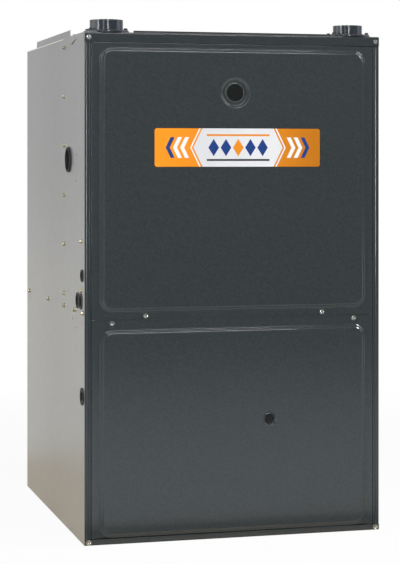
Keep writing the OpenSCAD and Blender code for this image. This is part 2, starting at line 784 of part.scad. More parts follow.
module flame_sensor() {
    x = burner_x[0];
    color("white") {
        rod_z([x, sensor_y, box_z0 - 16], 5, burner_z - 34 - box_z0 + 16);
        rod_z([x, sensor_y, box_z0 - touch - 2], 8, 2);
        rod_z([x, sensor_y, burner_z - 34 - eps], 1.5, 30);
    }
}

module safety_switches() {
    color(black_plastic) mirrored_x() difference() {
        union() {
            rod_y([rollout_x, cover_y - sheet - touch - rollout_l, rollout_z], 12, rollout_l);
            rod_y([rollout_x, cover_y - sheet - touch - eps, rollout_z], 7.6, 8);
            box([rollout_x - 18, cover_y - sheet - touch - 1.5, rollout_z - 5], [rollout_x + 18, cover_y - sheet - touch, rollout_z + 5]);
        }
        rod_y([rollout_x, cover_y - sheet - touch - rollout_l - 1, rollout_z], 3.4, 9);
    }
    color(black_plastic) {
        rod_y([limit_x, vest_y - 14, limit_z], 8.7, 22);
        box([limit_x - 18, vest_y - touch - 1.5, limit_z - 10], [limit_x + 18, vest_y - touch, limit_z + 10]);
    }
}

module reset_button() {
    rod_y([rollout_x, cover_y - sheet - touch - rollout_l - 5, rollout_z], 3, 9.5);
}

module reset_button_left() {
    color("red") mirror([1, 0, 0]) reset_button();
}

module reset_button_right() {
    color("red") reset_button();
}

// ---------------------------------------------------------------- heat exchanger and inducer

tube_y0 = vest_y + sheet + touch;
tube_back = back_y - 105;                                    // where the rear bends start
tube_front = vest_y + 70;                                    // where the front bends start
last_z = burner_z - 2 * pass_pitch;
header_y0 = back_y - 100;
header_y1 = back_y - 45;
collector_y0 = vest_y - 46;

module tube_pass(x, y0, y1, z) {
    translate([x, y0, z]) rotate([-90, 0, 0]) pipe_straight(tube_r, tube_wall, y1 - y0);
}

module heat_exchanger_tubes() {
    color("#8d8a84") for (x = burner_x) {
        tube_pass(x, tube_y0, tube_back, burner_z);
        translate([x, tube_back, burner_z]) rotate([-90, 90, 0]) pipe_bend(tube_r, tube_wall, pass_pitch / 2, 180);
        tube_pass(x, tube_front, tube_back, burner_z - pass_pitch);
        translate([x, tube_front, burner_z - pass_pitch]) rotate([90, 90, 0]) pipe_bend(tube_r, tube_wall, pass_pitch / 2, 180);
        tube_pass(x, tube_front, header_y0 - touch, last_z);
    }
}

module rear_header() {
    color("#8d8a84") difference() {
        box([-box_half_w, header_y0, coil_z0], [box_half_w, header_y1, last_z + 34]);
        box([-box_half_w + sheet, header_y0 + sheet, coil_z0 + sheet], [box_half_w - sheet, header_y1 - sheet, last_z + 34 - sheet]);
        for (x = burner_x) rod_y([x, header_y0 - 1, last_z], tube_r - tube_wall, 5);
        translate([0, header_y0 + 4, 0]) rotate([90, 0, 0]) linear_extrude(6) coil_holes(7);
    }
}

coil_cols = 12;
coil_row_z = [for (i = [0:2]) coil_z0 + 24 + 32 * i];

module coil_holes(r) {
    for (z = coil_row_z, i = [0:coil_cols - 1]) translate([(i - (coil_cols - 1) / 2) * 34, z]) circle(r);
}

module secondary_coil() {
    y0 = vest_y + sheet + touch;
    fins = 16;
    color("silver") {
        translate([0, header_y0 - touch, 0]) rotate([90, 0, 0]) linear_extrude(header_y0 - touch - y0) difference() {
            coil_holes(8);
            coil_holes(7);
        }
        for (i = [0:fins - 1]) translate([0, y0 + 8 + i * (header_y0 - y0 - 20) / (fins - 1), 0]) rotate([90, 0, 0])
            linear_extrude(0.6) difference() {
                translate([-coil_x + 20, coil_z0 + 4]) square([2 * coil_x - 40, 104]);
                coil_holes(7.5);
            }
    }
}

inducer_x = -110;
inducer_z = coil_z0 + 80;
inducer_scroll_r = inducer_r + 14;
inducer_d = 66;
inducer_y0 = collector_y0 - touch - inducer_d;
inducer_yc = inducer_y0 + inducer_d / 2;
outlet_x = inducer_x - inducer_scroll_r + 34;
outlet_top = inducer_z + inducer_scroll_r + 6;
spigot_h = 30;
inducer_shaft_r = 4;

module collector_box() {
    wall = 3;
    color(black_plastic) difference() {
        union() {
            box([-coil_x, collector_y0, coil_z0], [coil_x, vest_y - touch, coil_z1]);
            rod_y([inducer_x, collector_y0, inducer_z], inducer_r - 4, 40);
            rod_z([hose_x, hose_y, coil_z0 - 12], hose_r - 2, 20);
        }
        box([-coil_x + wall, collector_y0 + wall, coil_z0 + wall], [coil_x - wall, vest_y + 1, coil_z1 - wall]);
        rod_y([inducer_x, collector_y0 - 1, inducer_z], 28, 20);
        rod_z([hose_x, hose_y, coil_z0 - 13], hose_r - 4.5, 20);
    }
}

module inducer_housing() {
    wall = 3;
    y = inducer_y0;
    color(black_plastic) difference() {
        union() {
            rod_y([inducer_x, y, inducer_z], inducer_scroll_r, inducer_d);
            box([inducer_x - inducer_scroll_r, y, inducer_z], [outlet_x + 34, y + inducer_d, outlet_top]);
            rod_z([outlet_x, inducer_yc, outlet_top - eps], pipe_r, spigot_h);
        }
        rod_y([inducer_x, y + wall, inducer_z], inducer_scroll_r - wall, inducer_d - 2 * wall);
        box([inducer_x - inducer_scroll_r + wall, y + wall, inducer_z], [outlet_x + 31, y + inducer_d - wall, outlet_top - wall]);
        rod_z([outlet_x, inducer_yc, outlet_top - wall - 1], pipe_r - 4, spigot_h + 6);
        rod_y([inducer_x, y + inducer_d - wall - 1, inducer_z], 28, 6);
        rod_y([inducer_x, y - 1, inducer_z], 9, wall + 2);
    }
}

motor_gap = 12;
inducer_motor_y1 = inducer_y0 - motor_gap;
inducer_motor_l = 42;

module inducer_motor() {
    y0 = inducer_motor_y1 - inducer_motor_l;
    color("#3a3c3e") difference() {
        union() {
            box([inducer_x - 34, y0, inducer_z - 34], [inducer_x + 34, inducer_motor_y1, inducer_z + 34]);
            for (a = [45:90:315]) rod_y([inducer_x + 38 * cos(a), inducer_motor_y1 - 6, inducer_z + 38 * sin(a)], 4,
                motor_gap + 6 - touch);
        }
        rod_y([inducer_x, y0 - 1, inducer_z], inducer_shaft_r + 0.05, inducer_motor_l + 2);
    }
}

module inducer_rotor() {
    wheel_d = 34;
    y1 = inducer_y0 + 16;
    y0 = inducer_motor_y1 - inducer_motor_l - 16;
    color("#54575a") {
        rod_y([inducer_x, y0, inducer_z], inducer_shaft_r, y1 - y0 + 10);
        translate([inducer_x, y1, inducer_z]) rotate([-90, 0, 0]) {
            cylinder(r = inducer_r, h = 2);
            for (i = [0:11]) rotate(i * 30) translate([20, -0.8, 2 - eps]) cube([inducer_r - 21, 1.6, wheel_d - 2]);
        }
        translate([inducer_x, y0 + 4, inducer_z]) rotate([-90, 0, 0]) {
            cylinder(r = 9, h = 6);
            for (i = [0:5]) rotate(i * 60) translate([7, -0.8, 0]) cube([25, 1.6, 6]);
        }
    }
}

elbow_r = pipe_r + 3.6;
elbow_bend = 45;
elbow_dx = -collar_x - outlet_x;
elbow_dy = collar_y - inducer_yc;
elbow_run = sqrt(elbow_dx * elbow_dx + elbow_dy * elbow_dy);
elbow_z = outlet_top + spigot_h + 2;
elbow_top = elbow_z + 2 * elbow_bend;

// The rubber elbow from the inducer's outlet and the plastic pipe from there to the vent collar.
module vent_pipe() {
    wall = elbow_r - pipe_r - pipe_clear;
    color(black_plastic) translate([outlet_x, inducer_yc, 0]) rotate(atan2(elbow_dy, elbow_dx)) {
        translate([0, 0, elbow_z - 26]) pipe_straight(elbow_r, wall, 26);
        translate([0, 0, elbow_z]) pipe_bend(elbow_r, wall, elbow_bend, 90);
        translate([elbow_bend, 0, elbow_z + elbow_bend]) rotate([0, 90, 0]) pipe_straight(elbow_r, wall, elbow_run - 2 * elbow_bend);
        translate([elbow_run, 0, elbow_top]) rotate([180, 0, 180]) pipe_bend(elbow_r, wall, elbow_bend, 90);
        translate([elbow_run, 0, elbow_top]) pipe_straight(elbow_r, wall, 26);
    }
    color("white") translate([-collar_x, collar_y, elbow_top + 2])
        pipe_straight(pipe_r, pipe_wall, socket_under + socket_d - 1 - elbow_top - 2);
}

module intake_pipe() {
    l = 130;
    color("white") translate([collar_x, collar_y, socket_under + socket_d - 1 - l]) difference() {
        pipe_straight(pipe_r, pipe_wall, l);
        translate([-40, -40, -41]) rotate([0, -30, 0]) cube([100, 80, 40]);
    }
}

module pressure_switch() {
    p = [168, vest_y - touch, (coil_z1 + box_z0) / 2 - 5];
    color(black_plastic) {
        rod_y([p[0], p[1] - 40, p[2]], 36, 30);
        rod_y([p[0], p[1] - 48, p[2]], 14, 9);
        for (x = [-12, 12]) rod_z([p[0] + x, p[1] - 25, p[2] - 52], 3, 18);
        box([p[0] - 22, p[1] - 11, p[2] - 30], [p[0] + 22, p[1], p[2] + 30]);
    }
}

// ---------------------------------------------------------------- electrics

module junction_box() {
    x0 = -wall_x + touch;
    x1 = x0 + 44;
    tab = 14;                                                // upright tabs for its two screws
    color(galvanised) difference() {
        box([x0, jbox_y0, jbox_z0], [x1, jbox_y1, jbox_z1]);
        box([x0 + sheet, jbox_y0 - 1, jbox_z0 + sheet], [x1 - sheet, jbox_y1 - sheet, jbox_z1 - sheet]);
        box([x0 - 1, jbox_y0 - 1, jbox_z0 + tab], [x0 + 2, jbox_y1 - sheet, jbox_z1 - tab]);
        for (s = side_screws)
            if (s[0] == jbox_screw_y) rod_x([x0 - 1, s[0], s[1]], shank_r + hole_clear, 4);
    }
}

panel_y = front_y + 90;
panel_x0 = -112;
panel_x1 = 168;
panel_z0 = 120;
board_z0 = status[1] - 88;

module control_panel() {
    color(galvanised) difference() {
        union() {
            box([panel_x0, panel_y, panel_z0], [panel_x1, panel_y + sheet, deck_under - touch]);
            box([panel_x0, panel_y, deck_under - touch - sheet], [panel_x1, panel_y + 20, deck_under - touch]);
            box([panel_x0, panel_y, panel_z0], [panel_x0 + sheet, panel_y + 14, deck_under - touch]);
            box([panel_x1 - sheet, panel_y, panel_z0], [panel_x1, panel_y + 14, deck_under - touch]);
        }
        for (x = [20, 150], z = [board_z0 + 8, board_z0 + 160]) rod_y([x, panel_y - 1, z], 2.2, 4);
    }
}

module control_board() {
    y1 = panel_y - 6;
    y0 = y1 - 1.6;
    color("#2f6b45") {
        box([8, y0, board_z0], [160, y1, board_z0 + 168]);
        for (x = [20, 150], z = [board_z0 + 8, board_z0 + 160]) {
            rod_y([x, y1 - eps, z], 3.5, 6 - touch);
            rod_y([x, y1 + 1, z], 1.8, 9);
        }
        for (i = [0:3]) box([16 + 34 * i, y0 - 18, board_z0 + 20], [44 + 34 * i, y0 + eps, board_z0 + 46]);
        box([16, y0 - 12, board_z0 + 128], [120, y0 + eps, board_z0 + 144]);
        box([100, y0 - 14, board_z0 + 60], [136, y0 + eps, board_z0 + 100]);
        for (i = [0:2]) rod_y([28 + 16 * i, y0 - 22, board_z0 + 104], 6.5, 22 + eps);
        rod_y([status[0], y0 - 9, status[1]], 2.5, 9 + eps);
    }
}

module transformer() {
    y1 = panel_y - touch;
    color("#474a4d") {
        box([-98, y1 - 44, 300], [-34, y1 - 12, 356]);
        box([-88, y1 - 52, 308], [-44, y1 - 4, 348]);
        box([-104, y1 - 1.5, 290], [-28, y1, 366]);
        for (z = [290, 362]) box([-98, y1 - 44, z], [-34, y1, z + 4]);
        for (z = [293, 355]) box([-72, y1 - 30, z], [-60, y1 - 20, z + 10]);
    }
}

switch_y0 = deck_front_y + sheet + touch;
plunger_y0 = door_in_y + touch;

module door_switch() {
    color(black_plastic) difference() {
        box([switch_x - 14, switch_y0, switch_z - 9], [switch_x + 14, switch_y0 + 30, switch_z + 9]);
        rod_y([switch_x, switch_y0 - 1, switch_z], plunger_r + 0.4, 22);
    }
}

module door_switch_plunger() {
    color("red") rod_y([switch_x, plunger_y0, switch_z], plunger_r, 20);
}

module wiring() {
    r = 7;
    z1 = box_z0 - 110;
    color("#2b2b2b") {
        rod_z([loom_x, loom_y, 200], r, z1 - 200);
        translate([loom_x, loom_y, 200]) sphere(r);
        rod_x([panel_x1 + 2, loom_y, 200], r - 0.5, loom_x - panel_x1 - 2);
        translate([loom_x, loom_y, z1]) sphere(r);
        rod_y([loom_x, loom_y, z1], r - 0.5, vest_y - touch - loom_y);
    }
}

// ---------------------------------------------------------------- blower

axis_y = front_y + 400;
axis_z = deck_z - 222;
outlet_y0 = axis_y;
scroll_r0 = wheel_r + 10;
scroll_grow = 60;
outlet_y1 = axis_y + scroll_r0 + scroll_grow;
housing_top = deck_under - touch;
shaft_r = 6.35;
run_clear = 0.05;
motor_x0 = 16;

module scroll_shape(inset) {
    top = housing_top - axis_z + (inset > 0 ? 5 : 0);
    turn = [for (a = [90:9:360]) [cos(a), sin(a)] * (scroll_r0 - inset + scroll_grow * (a - 90) / 270)];
    corner = inset > 0 ? [[inset, scroll_r0 - inset]] : [];
    translate([axis_y, axis_z]) polygon(concat([[inset, top]], corner, turn, [[scroll_r0 + scroll_grow - inset, top]]));
}

module blower_housing() {
    inlet_r = wheel_r - 14;
    color(galvanised) {
        along_x(-housing_x + sheet, housing_x - sheet) difference() {
            scroll_shape(0);
            scroll_shape(sheet);
        }
        for (x = [-housing_x, housing_x - sheet]) along_x(x, x + sheet) difference() {
            scroll_shape(0);
            translate([axis_y, axis_z]) circle(inlet_r);
        }
    }
}

module blower_wheel() {
    blade_in = wheel_r - 20;
    hw = wheel_w / 2;
    color("#9b9d9c") translate([0, axis_y, axis_z]) {
        for (x = [-hw, hw - 5]) along_x(x, x + 5) difference() {
            circle(wheel_r);
            circle(blade_in);
        }
        along_x(-hw + 5, hw - 5) for (i = [0:wheel_blades - 1])
            rotate(i * 360 / wheel_blades) translate([wheel_r - 18, -2]) rotate(24) square([17, 1]);
        along_x(-2, 2) circle(wheel_r - 4);
        rod_x([-26, 0, 0], 18, 30);
        rod_x([-40, 0, 0], shaft_r, 40 + motor_x0 + 60);
    }
}

module blower_motor() {
    color("#3f4346") translate([0, axis_y, axis_z]) difference() {
        union() {
            rod_x([motor_x0, 0, 0], motor_r, motor_l);
            rod_x([motor_x0 - 6, 0, 0], 22, 7);
            rod_x([motor_x0 + motor_l - eps, 0, 0], motor_r - 8, 10);
        }
        rod_x([motor_x0 - 7, 0, 0], shaft_r + run_clear, 70);
        for (a = [0:45:315]) rotate([a, 0, 0]) rod_x([motor_x0 + motor_l + 4, 0, motor_r - 20], 4, 8);
    }
}

module motor_mount() {
    band_w = 26;
    x0 = motor_x0 + motor_l - band_w - 6;
    reach = wheel_r - 4;
    color(galvanised) translate([0, axis_y, axis_z]) {
        along_x(x0, x0 + band_w) difference() {
            circle(motor_r + touch + 2);
            circle(motor_r + touch);
        }
        for (a = [30:120:270]) rotate([a, 0, 0]) {
            translate([x0 + 4, -9, motor_r + touch + 1]) cube([18, 18, 3]);
            translate([x0 + 10, -5, motor_r + touch + 3]) cube([4, 10, 20]);
            translate([x0 + 10, -5, motor_r + touch + 20]) cube([housing_x + touch - x0 - 10, 10, 4]);
            translate([housing_x + touch, -5, motor_r + touch + 20]) cube([4, 10, reach - motor_r - 2]);
        }
    }
}

module air_filter() {
    y0 = base_y0 + 4;
    y1 = wall_y - base_t - 4;
    z0 = base_leg_h + touch;
    rim = 18;
    pleats = 24;
    step = (y1 - y0 - 2 * rim) / pleats;
    color("#c9b48a") difference() {
        box([-wall_x + 6, y0, z0], [wall_x - 6, y1, z0 + filter_t]);
        box([-wall_x + 6 + rim, y0 + rim, z0 - 1], [wall_x - 6 - rim, y1 - rim, z0 + filter_t + 1]);
    }
    color("#e6e4dc") along_x(-wall_x + 6 + rim, wall_x - 6 - rim) polygon(concat(
        [for (i = [0:pleats]) [y0 + rim + i * step, z0 + 2 + (i % 2) * (filter_t - 6)]],
        [for (i = [pleats:-1:0]) [y0 + rim + i * step, z0 + 3.5 + (i % 2) * (filter_t - 6)]]));
}

// ---------------------------------------------------------------- condensate drain

trap_z1 = 350;
trap_y0 = front_y + 9;

module condensate_trap() {
    trap_y = front_y + 40;
    bend = 26;
    hose_wall = 1.7;
    top_z = coil_z0 - touch;
    run = hose_y - trap_y - 2 * bend;
    color(black_plastic) difference() {
        union() {
            box([-wall_x + 20, trap_y0, trap_z1 - 110], [hose_x + 22, trap_y0 + 62, trap_z1]);
            rod_x([-half_w - 1, drain_hole[0], drain_hole[1]], drain_bore_r - touch, 24);
            rod_z([hose_x, trap_y, trap_z1 - eps], hose_r - 2, 14);
        }
        box([-wall_x + 23, trap_y0 + 3, trap_z1 - 107], [hose_x + 19, trap_y0 + 59, trap_z1 - 3]);
        rod_x([-half_w - 2, drain_hole[0], drain_hole[1]], drain_bore_r - 4, 30);
        rod_z([hose_x, trap_y, trap_z1 - 4], hose_r - 5, 30);
    }
    // The hose from the collector box, through the deck, to the trap.
    color(black_plastic) translate([hose_x, trap_y, trap_z1 + 1]) {
        pipe_straight(hose_r, hose_wall, 15);
        translate([0, 0, 15]) rotate(90) pipe_bend(hose_r, hose_wall, bend, 90);
        translate([0, bend, 15 + bend]) rotate([-90, 0, 0]) pipe_straight(hose_r, hose_wall, run);
        translate([0, bend + run, 15 + bend]) rotate([-90, 0, 0]) rotate(-90) pipe_bend(hose_r, hose_wall, bend, 90);
        translate([0, 2 * bend + run, 15 + 2 * bend]) pipe_straight(hose_r, hose_wall, top_z - trap_z1 - 16 - 2 * bend);
    }
}

// ---------------------------------------------------------------- assembly

side_panel_left();
side_panel_right();
back_panel();
base_frame();
supply_flange();
top_cover();
top_rail();
base_rail();
corner_posts();
blower_deck();
vestibule_panel();
casing_screws();
corner_screws();
entry_grommets();
top_seals();
vent_collar();
intake_collar();
upper_door();
upper_door_insulation();
sight_glass();
badge_plate();
upper_door_screws();
lower_door();
lower_door_insulation();
status_window();
lower_door_screws();
burner_box();
burner_box_cover();
burners();
gas_manifold();
gas_valve();
gas_valve_knob();
igniter();
flame_sensor();
safety_switches();
reset_button_left();
reset_button_right();
heat_exchanger_tubes();
rear_header();
secondary_coil();
collector_box();
inducer_housing();
inducer_motor();
inducer_rotor();
vent_pipe();
intake_pipe();
pressure_switch();
junction_box();
control_panel();
control_board();
transformer();
door_switch();
door_switch_plunger();
blower_housing();
blower_wheel();
blower_motor();
motor_mount();
air_filter();
condensate_trap();
wiring();
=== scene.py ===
"""Looks of an upflow condensing gas furnace: dark powder-coated doors and trim on a galvanised
casing, with its burners, heat exchanger, inducer, blower and controls inside."""

import math

import bmesh
import bpy
from mathutils import Matrix, Vector


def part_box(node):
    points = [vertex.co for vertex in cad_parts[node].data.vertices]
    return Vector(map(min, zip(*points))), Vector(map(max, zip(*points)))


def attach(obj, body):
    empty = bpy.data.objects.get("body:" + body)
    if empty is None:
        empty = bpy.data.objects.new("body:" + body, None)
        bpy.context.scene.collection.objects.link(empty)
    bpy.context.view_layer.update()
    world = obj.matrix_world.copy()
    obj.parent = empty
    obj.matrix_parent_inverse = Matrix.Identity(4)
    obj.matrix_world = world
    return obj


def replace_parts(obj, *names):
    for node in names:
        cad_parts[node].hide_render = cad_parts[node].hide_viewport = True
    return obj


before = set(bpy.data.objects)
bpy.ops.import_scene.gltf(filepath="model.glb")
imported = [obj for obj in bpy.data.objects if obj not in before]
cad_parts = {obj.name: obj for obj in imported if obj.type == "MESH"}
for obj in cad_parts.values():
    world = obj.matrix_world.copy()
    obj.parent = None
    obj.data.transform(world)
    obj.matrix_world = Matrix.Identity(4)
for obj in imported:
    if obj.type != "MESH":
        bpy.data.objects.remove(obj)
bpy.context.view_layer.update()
MM = 0.001


# ---------------------------------------------------------------- node helpers

def srgb(r, g, b):
    """An 8-bit screen colour as a linear one with alpha."""
    def channel(v):
        v /= 255
        return v / 12.92 if v <= 0.04045 else ((v + 0.055) / 1.055) ** 2.4
    return (channel(r), channel(g), channel(b), 1.0)


class Nodes:
    """A material's node tree with short calls for the nodes used here."""

    def __init__(self, name, **sockets):
        self.material = bpy.data.materials.new(name)
        self.material.use_nodes = True
        self.tree = self.material.node_tree
        self.shader = self.tree.nodes["Principled BSDF"]
        self.coords = self.tree.nodes.new("ShaderNodeTexCoord").outputs["Object"]
        for socket, value in sockets.items():
            self.shader.inputs[socket.replace("_", " ")].default_value = value

    def node(self, kind, **inputs):
        made = self.tree.nodes.new("ShaderNode" + kind)
        for socket, value in inputs.items():
            self.feed(made.inputs[socket], value)
        return made

    def feed(self, socket, value):
        if isinstance(value, bpy.types.NodeSocket):
            self.tree.links.new(value, socket)
        else:
            socket.default_value = value

    def math(self, operation, a, b=0.0, clamp=False):
        made = self.tree.nodes.new("ShaderNodeMath")
        made.operation = operation
        made.use_clamp = clamp
        self.feed(made.inputs[0], a)
        self.feed(made.inputs[1], b)
        return made.outputs[0]

    def scaled(self, x, y, z):
        made = self.tree.nodes.new("ShaderNodeMapping")
        self.feed(made.inputs["Vector"], self.coords)
        made.inputs["Scale"].default_value = (x, y, z)
        return made.outputs[0]

    def noise(self, scale, detail=3.0, stretch=None, roughness=0.5):
        vector = self.scaled(*stretch) if stretch else self.coords
        made = self.node("TexNoise", Vector=vector, Scale=scale, Detail=detail, Roughness=roughness)
        return made.outputs["Fac"]

    def cells(self, scale, output="Color"):
        return self.node("TexVoronoi", Vector=self.coords, Scale=scale).outputs[output]

    def spread(self, value, low, high):
        """Maps a 0..1 value to low..high."""
        return self.node("MapRange", Value=value, **{"To Min": low, "To Max": high}).outputs[0]

    def step(self, value, low, high):
        """0 below low, 1 above high, smooth between."""
        made = self.node("MapRange", Value=value, **{"From Min": low, "From Max": high})
        made.interpolation_type = "SMOOTHSTEP"
        return made.outputs[0]

    def mix(self, factor, a, b):
        made = self.tree.nodes.new("ShaderNodeMix")
        made.data_type = "RGBA"
        self.feed(made.inputs["Factor"], factor)
        self.feed(made.inputs["A"], a)
        self.feed(made.inputs["B"], b)
        return made.outputs["Result"]

    def colour(self, value):
        self.feed(self.shader.inputs["Base Color"], value)

    def rough(self, value):
        self.feed(self.shader.inputs["Roughness"], value)

    def bump(self, height, distance, strength=1.0):
        made = self.node("Bump", Height=height, Distance=distance, Strength=strength)
        self.feed(self.shader.inputs["Normal"], made.outputs[0])

    def axis(self, index):
        return self.node("SeparateXYZ", Vector=self.coords).outputs[index]

    def times(self, a, b):
        return self.math("MULTIPLY", a, b)

    def plus(self, a, b, clamp=False):
        return self.math("ADD", a, b, clamp)


def shade(base, factor):
    """A colour made darker or lighter."""
    return [c * factor for c in base[:3]] + [1]


# ---------------------------------------------------------------- materials

def powder_coat(name, base, roughness=0.42, relief=0.00015):
    """Fine orange-peel powder coat with a faint grain."""
    m = Nodes(name, Specular_IOR_Level=0.6)
    grain = m.noise(300, 2)
    cloud = m.noise(5, 3)
    tone = m.plus(m.times(grain, 0.9), m.times(cloud, 0.1))
    m.colour(m.mix(tone, shade(base, 0.58), shade(base, 1.42)))
    m.rough(m.spread(m.noise(40, 3), roughness - 0.02, roughness + 0.02))
    m.bump(grain, relief, 0.5)
    return m.material


def galvanised(name, base, roughness=0.34, metallic=0.75, spangle=0.3, depth_shade=0.0):
    """Zinc-coated sheet: soft spangle cells, rolling streaks and fine grain. The last argument paints
    shade along the depth: darker in the middle of its depth than at the front and the back."""
    m = Nodes(name, Metallic=metallic)
    cells = m.node("SeparateColor", Color=m.cells(55)).outputs[0]
    streaks = m.noise(12, 4, stretch=(1, 1, 0.08))
    cloud = m.noise(3.5, 4)
    tone = m.plus(m.times(cells, 0.45), m.plus(m.times(streaks, 0.3), m.times(cloud, 0.25)))
    speckle = m.plus(m.times(tone, 0.25), m.times(m.noise(300, 2), 0.75))
    # painted shade: a tone across the sheet's depth, dark in the middle and light towards the back
    depth = m.plus(m.step(m.axis(1), -0.06, 0.36), m.times(m.step(m.axis(1), -0.02, -0.2), 0.2))
    value = m.plus(speckle, m.spread(depth, -depth_shade, depth_shade), clamp=True)
    m.colour(m.mix(value, shade(base, 1 - spangle), shade(base, 1 + spangle)))
    m.rough(m.spread(tone, roughness - 0.05, roughness + 0.08))
    m.bump(m.noise(900, 2), 0.00005, 0.3)
    return m.material


def plain_metal(name, base, roughness, metallic=1.0, stretch=(1, 1, 1), contrast=0.12, grain=400):
    """Machined, drawn or cast metal with a directional or even grain."""
    m = Nodes(name, Metallic=metallic)
    tone = m.noise(grain, 4, stretch=stretch)
    m.colour(m.mix(tone, shade(base, 1 - contrast), shade(base, 1 + contrast)))
    m.rough(m.spread(tone, roughness - 0.06, roughness + 0.08))
    m.bump(tone, 0.0001, 0.35)
    return m.material


def plastic(name, base, roughness=0.38, grain=700, coat=0.0, specular=0.5):
    """Moulded plastic with a fine spark-eroded grain."""
    m = Nodes(name, Specular_IOR_Level=specular, Coat_Weight=coat, Coat_Roughness=0.12)
    m.colour(m.mix(m.noise(18, 3), shade(base, 0.92), shade(base, 1.08)))
    m.rough(m.spread(m.noise(60, 2), roughness - 0.04, roughness + 0.05))
    m.bump(m.noise(grain, 2), 0.00008, 0.25)
    return m.material


def heat_tinted(name, base):
    """Aluminised steel, straw and blue where the flame heats it."""
    m = Nodes(name, Metallic=0.9)
    tone = m.noise(14, 4)
    near_burner = m.step(m.axis(1), 0.10, -0.09)
    straw = m.mix(tone, srgb(150, 128, 96), srgb(112, 98, 104))
    plain = m.mix(tone, shade(base, 0.85), shade(base, 1.15))
    m.colour(m.mix(near_burner, plain, straw))
    m.rough(m.spread(m.noise(60, 3), 0.34, 0.5))
    m.bump(m.noise(300, 3), 0.0001, 0.3)
    return m.material


def foil(name):
    """Foil facing with a square scrim pressed through it."""
    m = Nodes(name, Metallic=0.9)
    x, z = m.axis(0), m.axis(2)
    threads_per_metre = 80

    def threads(value):
        place = m.math("FRACT", m.times(value, threads_per_metre))
        return m.step(m.math("ABSOLUTE", m.math("SUBTRACT", place, 0.5)), 0.42, 0.5)

    scrim = m.math("MAXIMUM", threads(x), threads(z))
    crinkle = m.noise(45, 5)
    m.colour(m.mix(crinkle, srgb(176, 178, 180), srgb(214, 215, 216)))
    m.rough(m.spread(crinkle, 0.24, 0.42))
    m.bump(m.plus(scrim, m.times(crinkle, 2.0)), 0.0006, 0.5)
    return m.material


def badge_print():
    """Orange print with a silver field between chevrons, a row of lozenges and two fine lines."""
    m = Nodes("badge_print", Specular_IOR_Level=0.4, Roughness=0.22)
    low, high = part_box("badge_plate")
    x, z = m.axis(0), m.axis(2)
    across = m.math("DIVIDE", m.math("SUBTRACT", x, low[0]), high[0] - low[0])
    up = m.math("DIVIDE", m.math("SUBTRACT", z, low[2]), high[2] - low[2])
    from_middle = m.math("SUBTRACT", across, 0.5)
    off_middle = m.math("ABSOLUTE", from_middle)
    height = m.times(m.math("ABSOLUTE", m.math("SUBTRACT", up, 0.5)), 2.0)
    arrow = m.plus(off_middle, m.times(height, 0.055))

    def band(value, start, end, soft=0.0016):
        rise = m.step(value, start - soft, start + soft)
        return m.times(rise, m.step(value, end + soft, end - soft))

    orange = m.mix(m.step(across, 0.0, 0.42), srgb(243, 147, 36), srgb(222, 134, 32))
    orange = m.mix(m.step(across, 0.6, 1.0), orange, srgb(184, 112, 26))
    silver = m.mix(m.step(across, 0.3, 0.7), srgb(205, 206, 209), srgb(222, 222, 224))
    silver = m.mix(m.noise(900, 2), silver, srgb(214, 214, 216))
    white, ink = srgb(230, 230, 229), srgb(34, 62, 122)
    colour = m.mix(m.step(arrow, 0.272, 0.268), orange, silver)
    colour = m.mix(band(arrow, 0.281, 0.289), colour, white)
    inside = m.step(height, 0.56, 0.52)
    chevron_w = 0.024
    for start, tint in ((0.325, white), (0.368, white), (0.411, ink)):
        chevron = m.times(band(arrow, start, start + chevron_w), inside)
        colour = m.mix(chevron, colour, tint)
    lozenge_pitch = 0.074
    amber = srgb(224, 136, 34)
    place = m.math("FRACT", m.plus(m.math("DIVIDE", from_middle, lozenge_pitch), 0.5))
    off_centre = m.math("ABSOLUTE", m.math("SUBTRACT", place, 0.5))
    lozenge = m.plus(m.times(off_centre, 2.3), m.times(height, 2.2))
    row = m.times(m.step(lozenge, 1.04, 0.96), m.step(off_middle, 0.187, 0.183))
    colour = m.mix(row, colour, m.mix(m.step(off_middle, 0.039, 0.035), ink, amber))
    line_reach = 0.19
    for low_z, high_z, tint in ((0.15, 0.2, srgb(44, 44, 48)), (0.8, 0.85, amber)):
        ends = m.step(off_middle, line_reach + 0.002, line_reach - 0.002)
        colour = m.mix(m.times(band(up, low_z, high_z, 0.008), ends), colour, tint)
    m.colour(colour)
    m.bump(m.noise(500, 2), 0.00004, 0.2)
    return m.material


def circuit_board(name):
    """Green solder mask with the tracks showing through."""
    m = Nodes(name, Specular_IOR_Level=0.5)
    tracks = m.step(m.noise(160, 0), 0.5, 0.53)
    m.colour(m.mix(tracks, srgb(28, 84, 56), srgb(36, 104, 66)))
    m.rough(m.spread(tracks, 0.3, 0.42))
    m.bump(tracks, 0.0001, 0.4)
    return m.material


def filter_fibres(name):
    """Pale pleated media of loose fibres."""
    m = Nodes(name, Specular_IOR_Level=0.2, Roughness=0.85)
    fibres = m.noise(500, 4)
    m.colour(m.mix(fibres, srgb(206, 203, 192), srgb(236, 234, 226)))
    m.bump(fibres, 0.0004, 0.5)
    return m.material


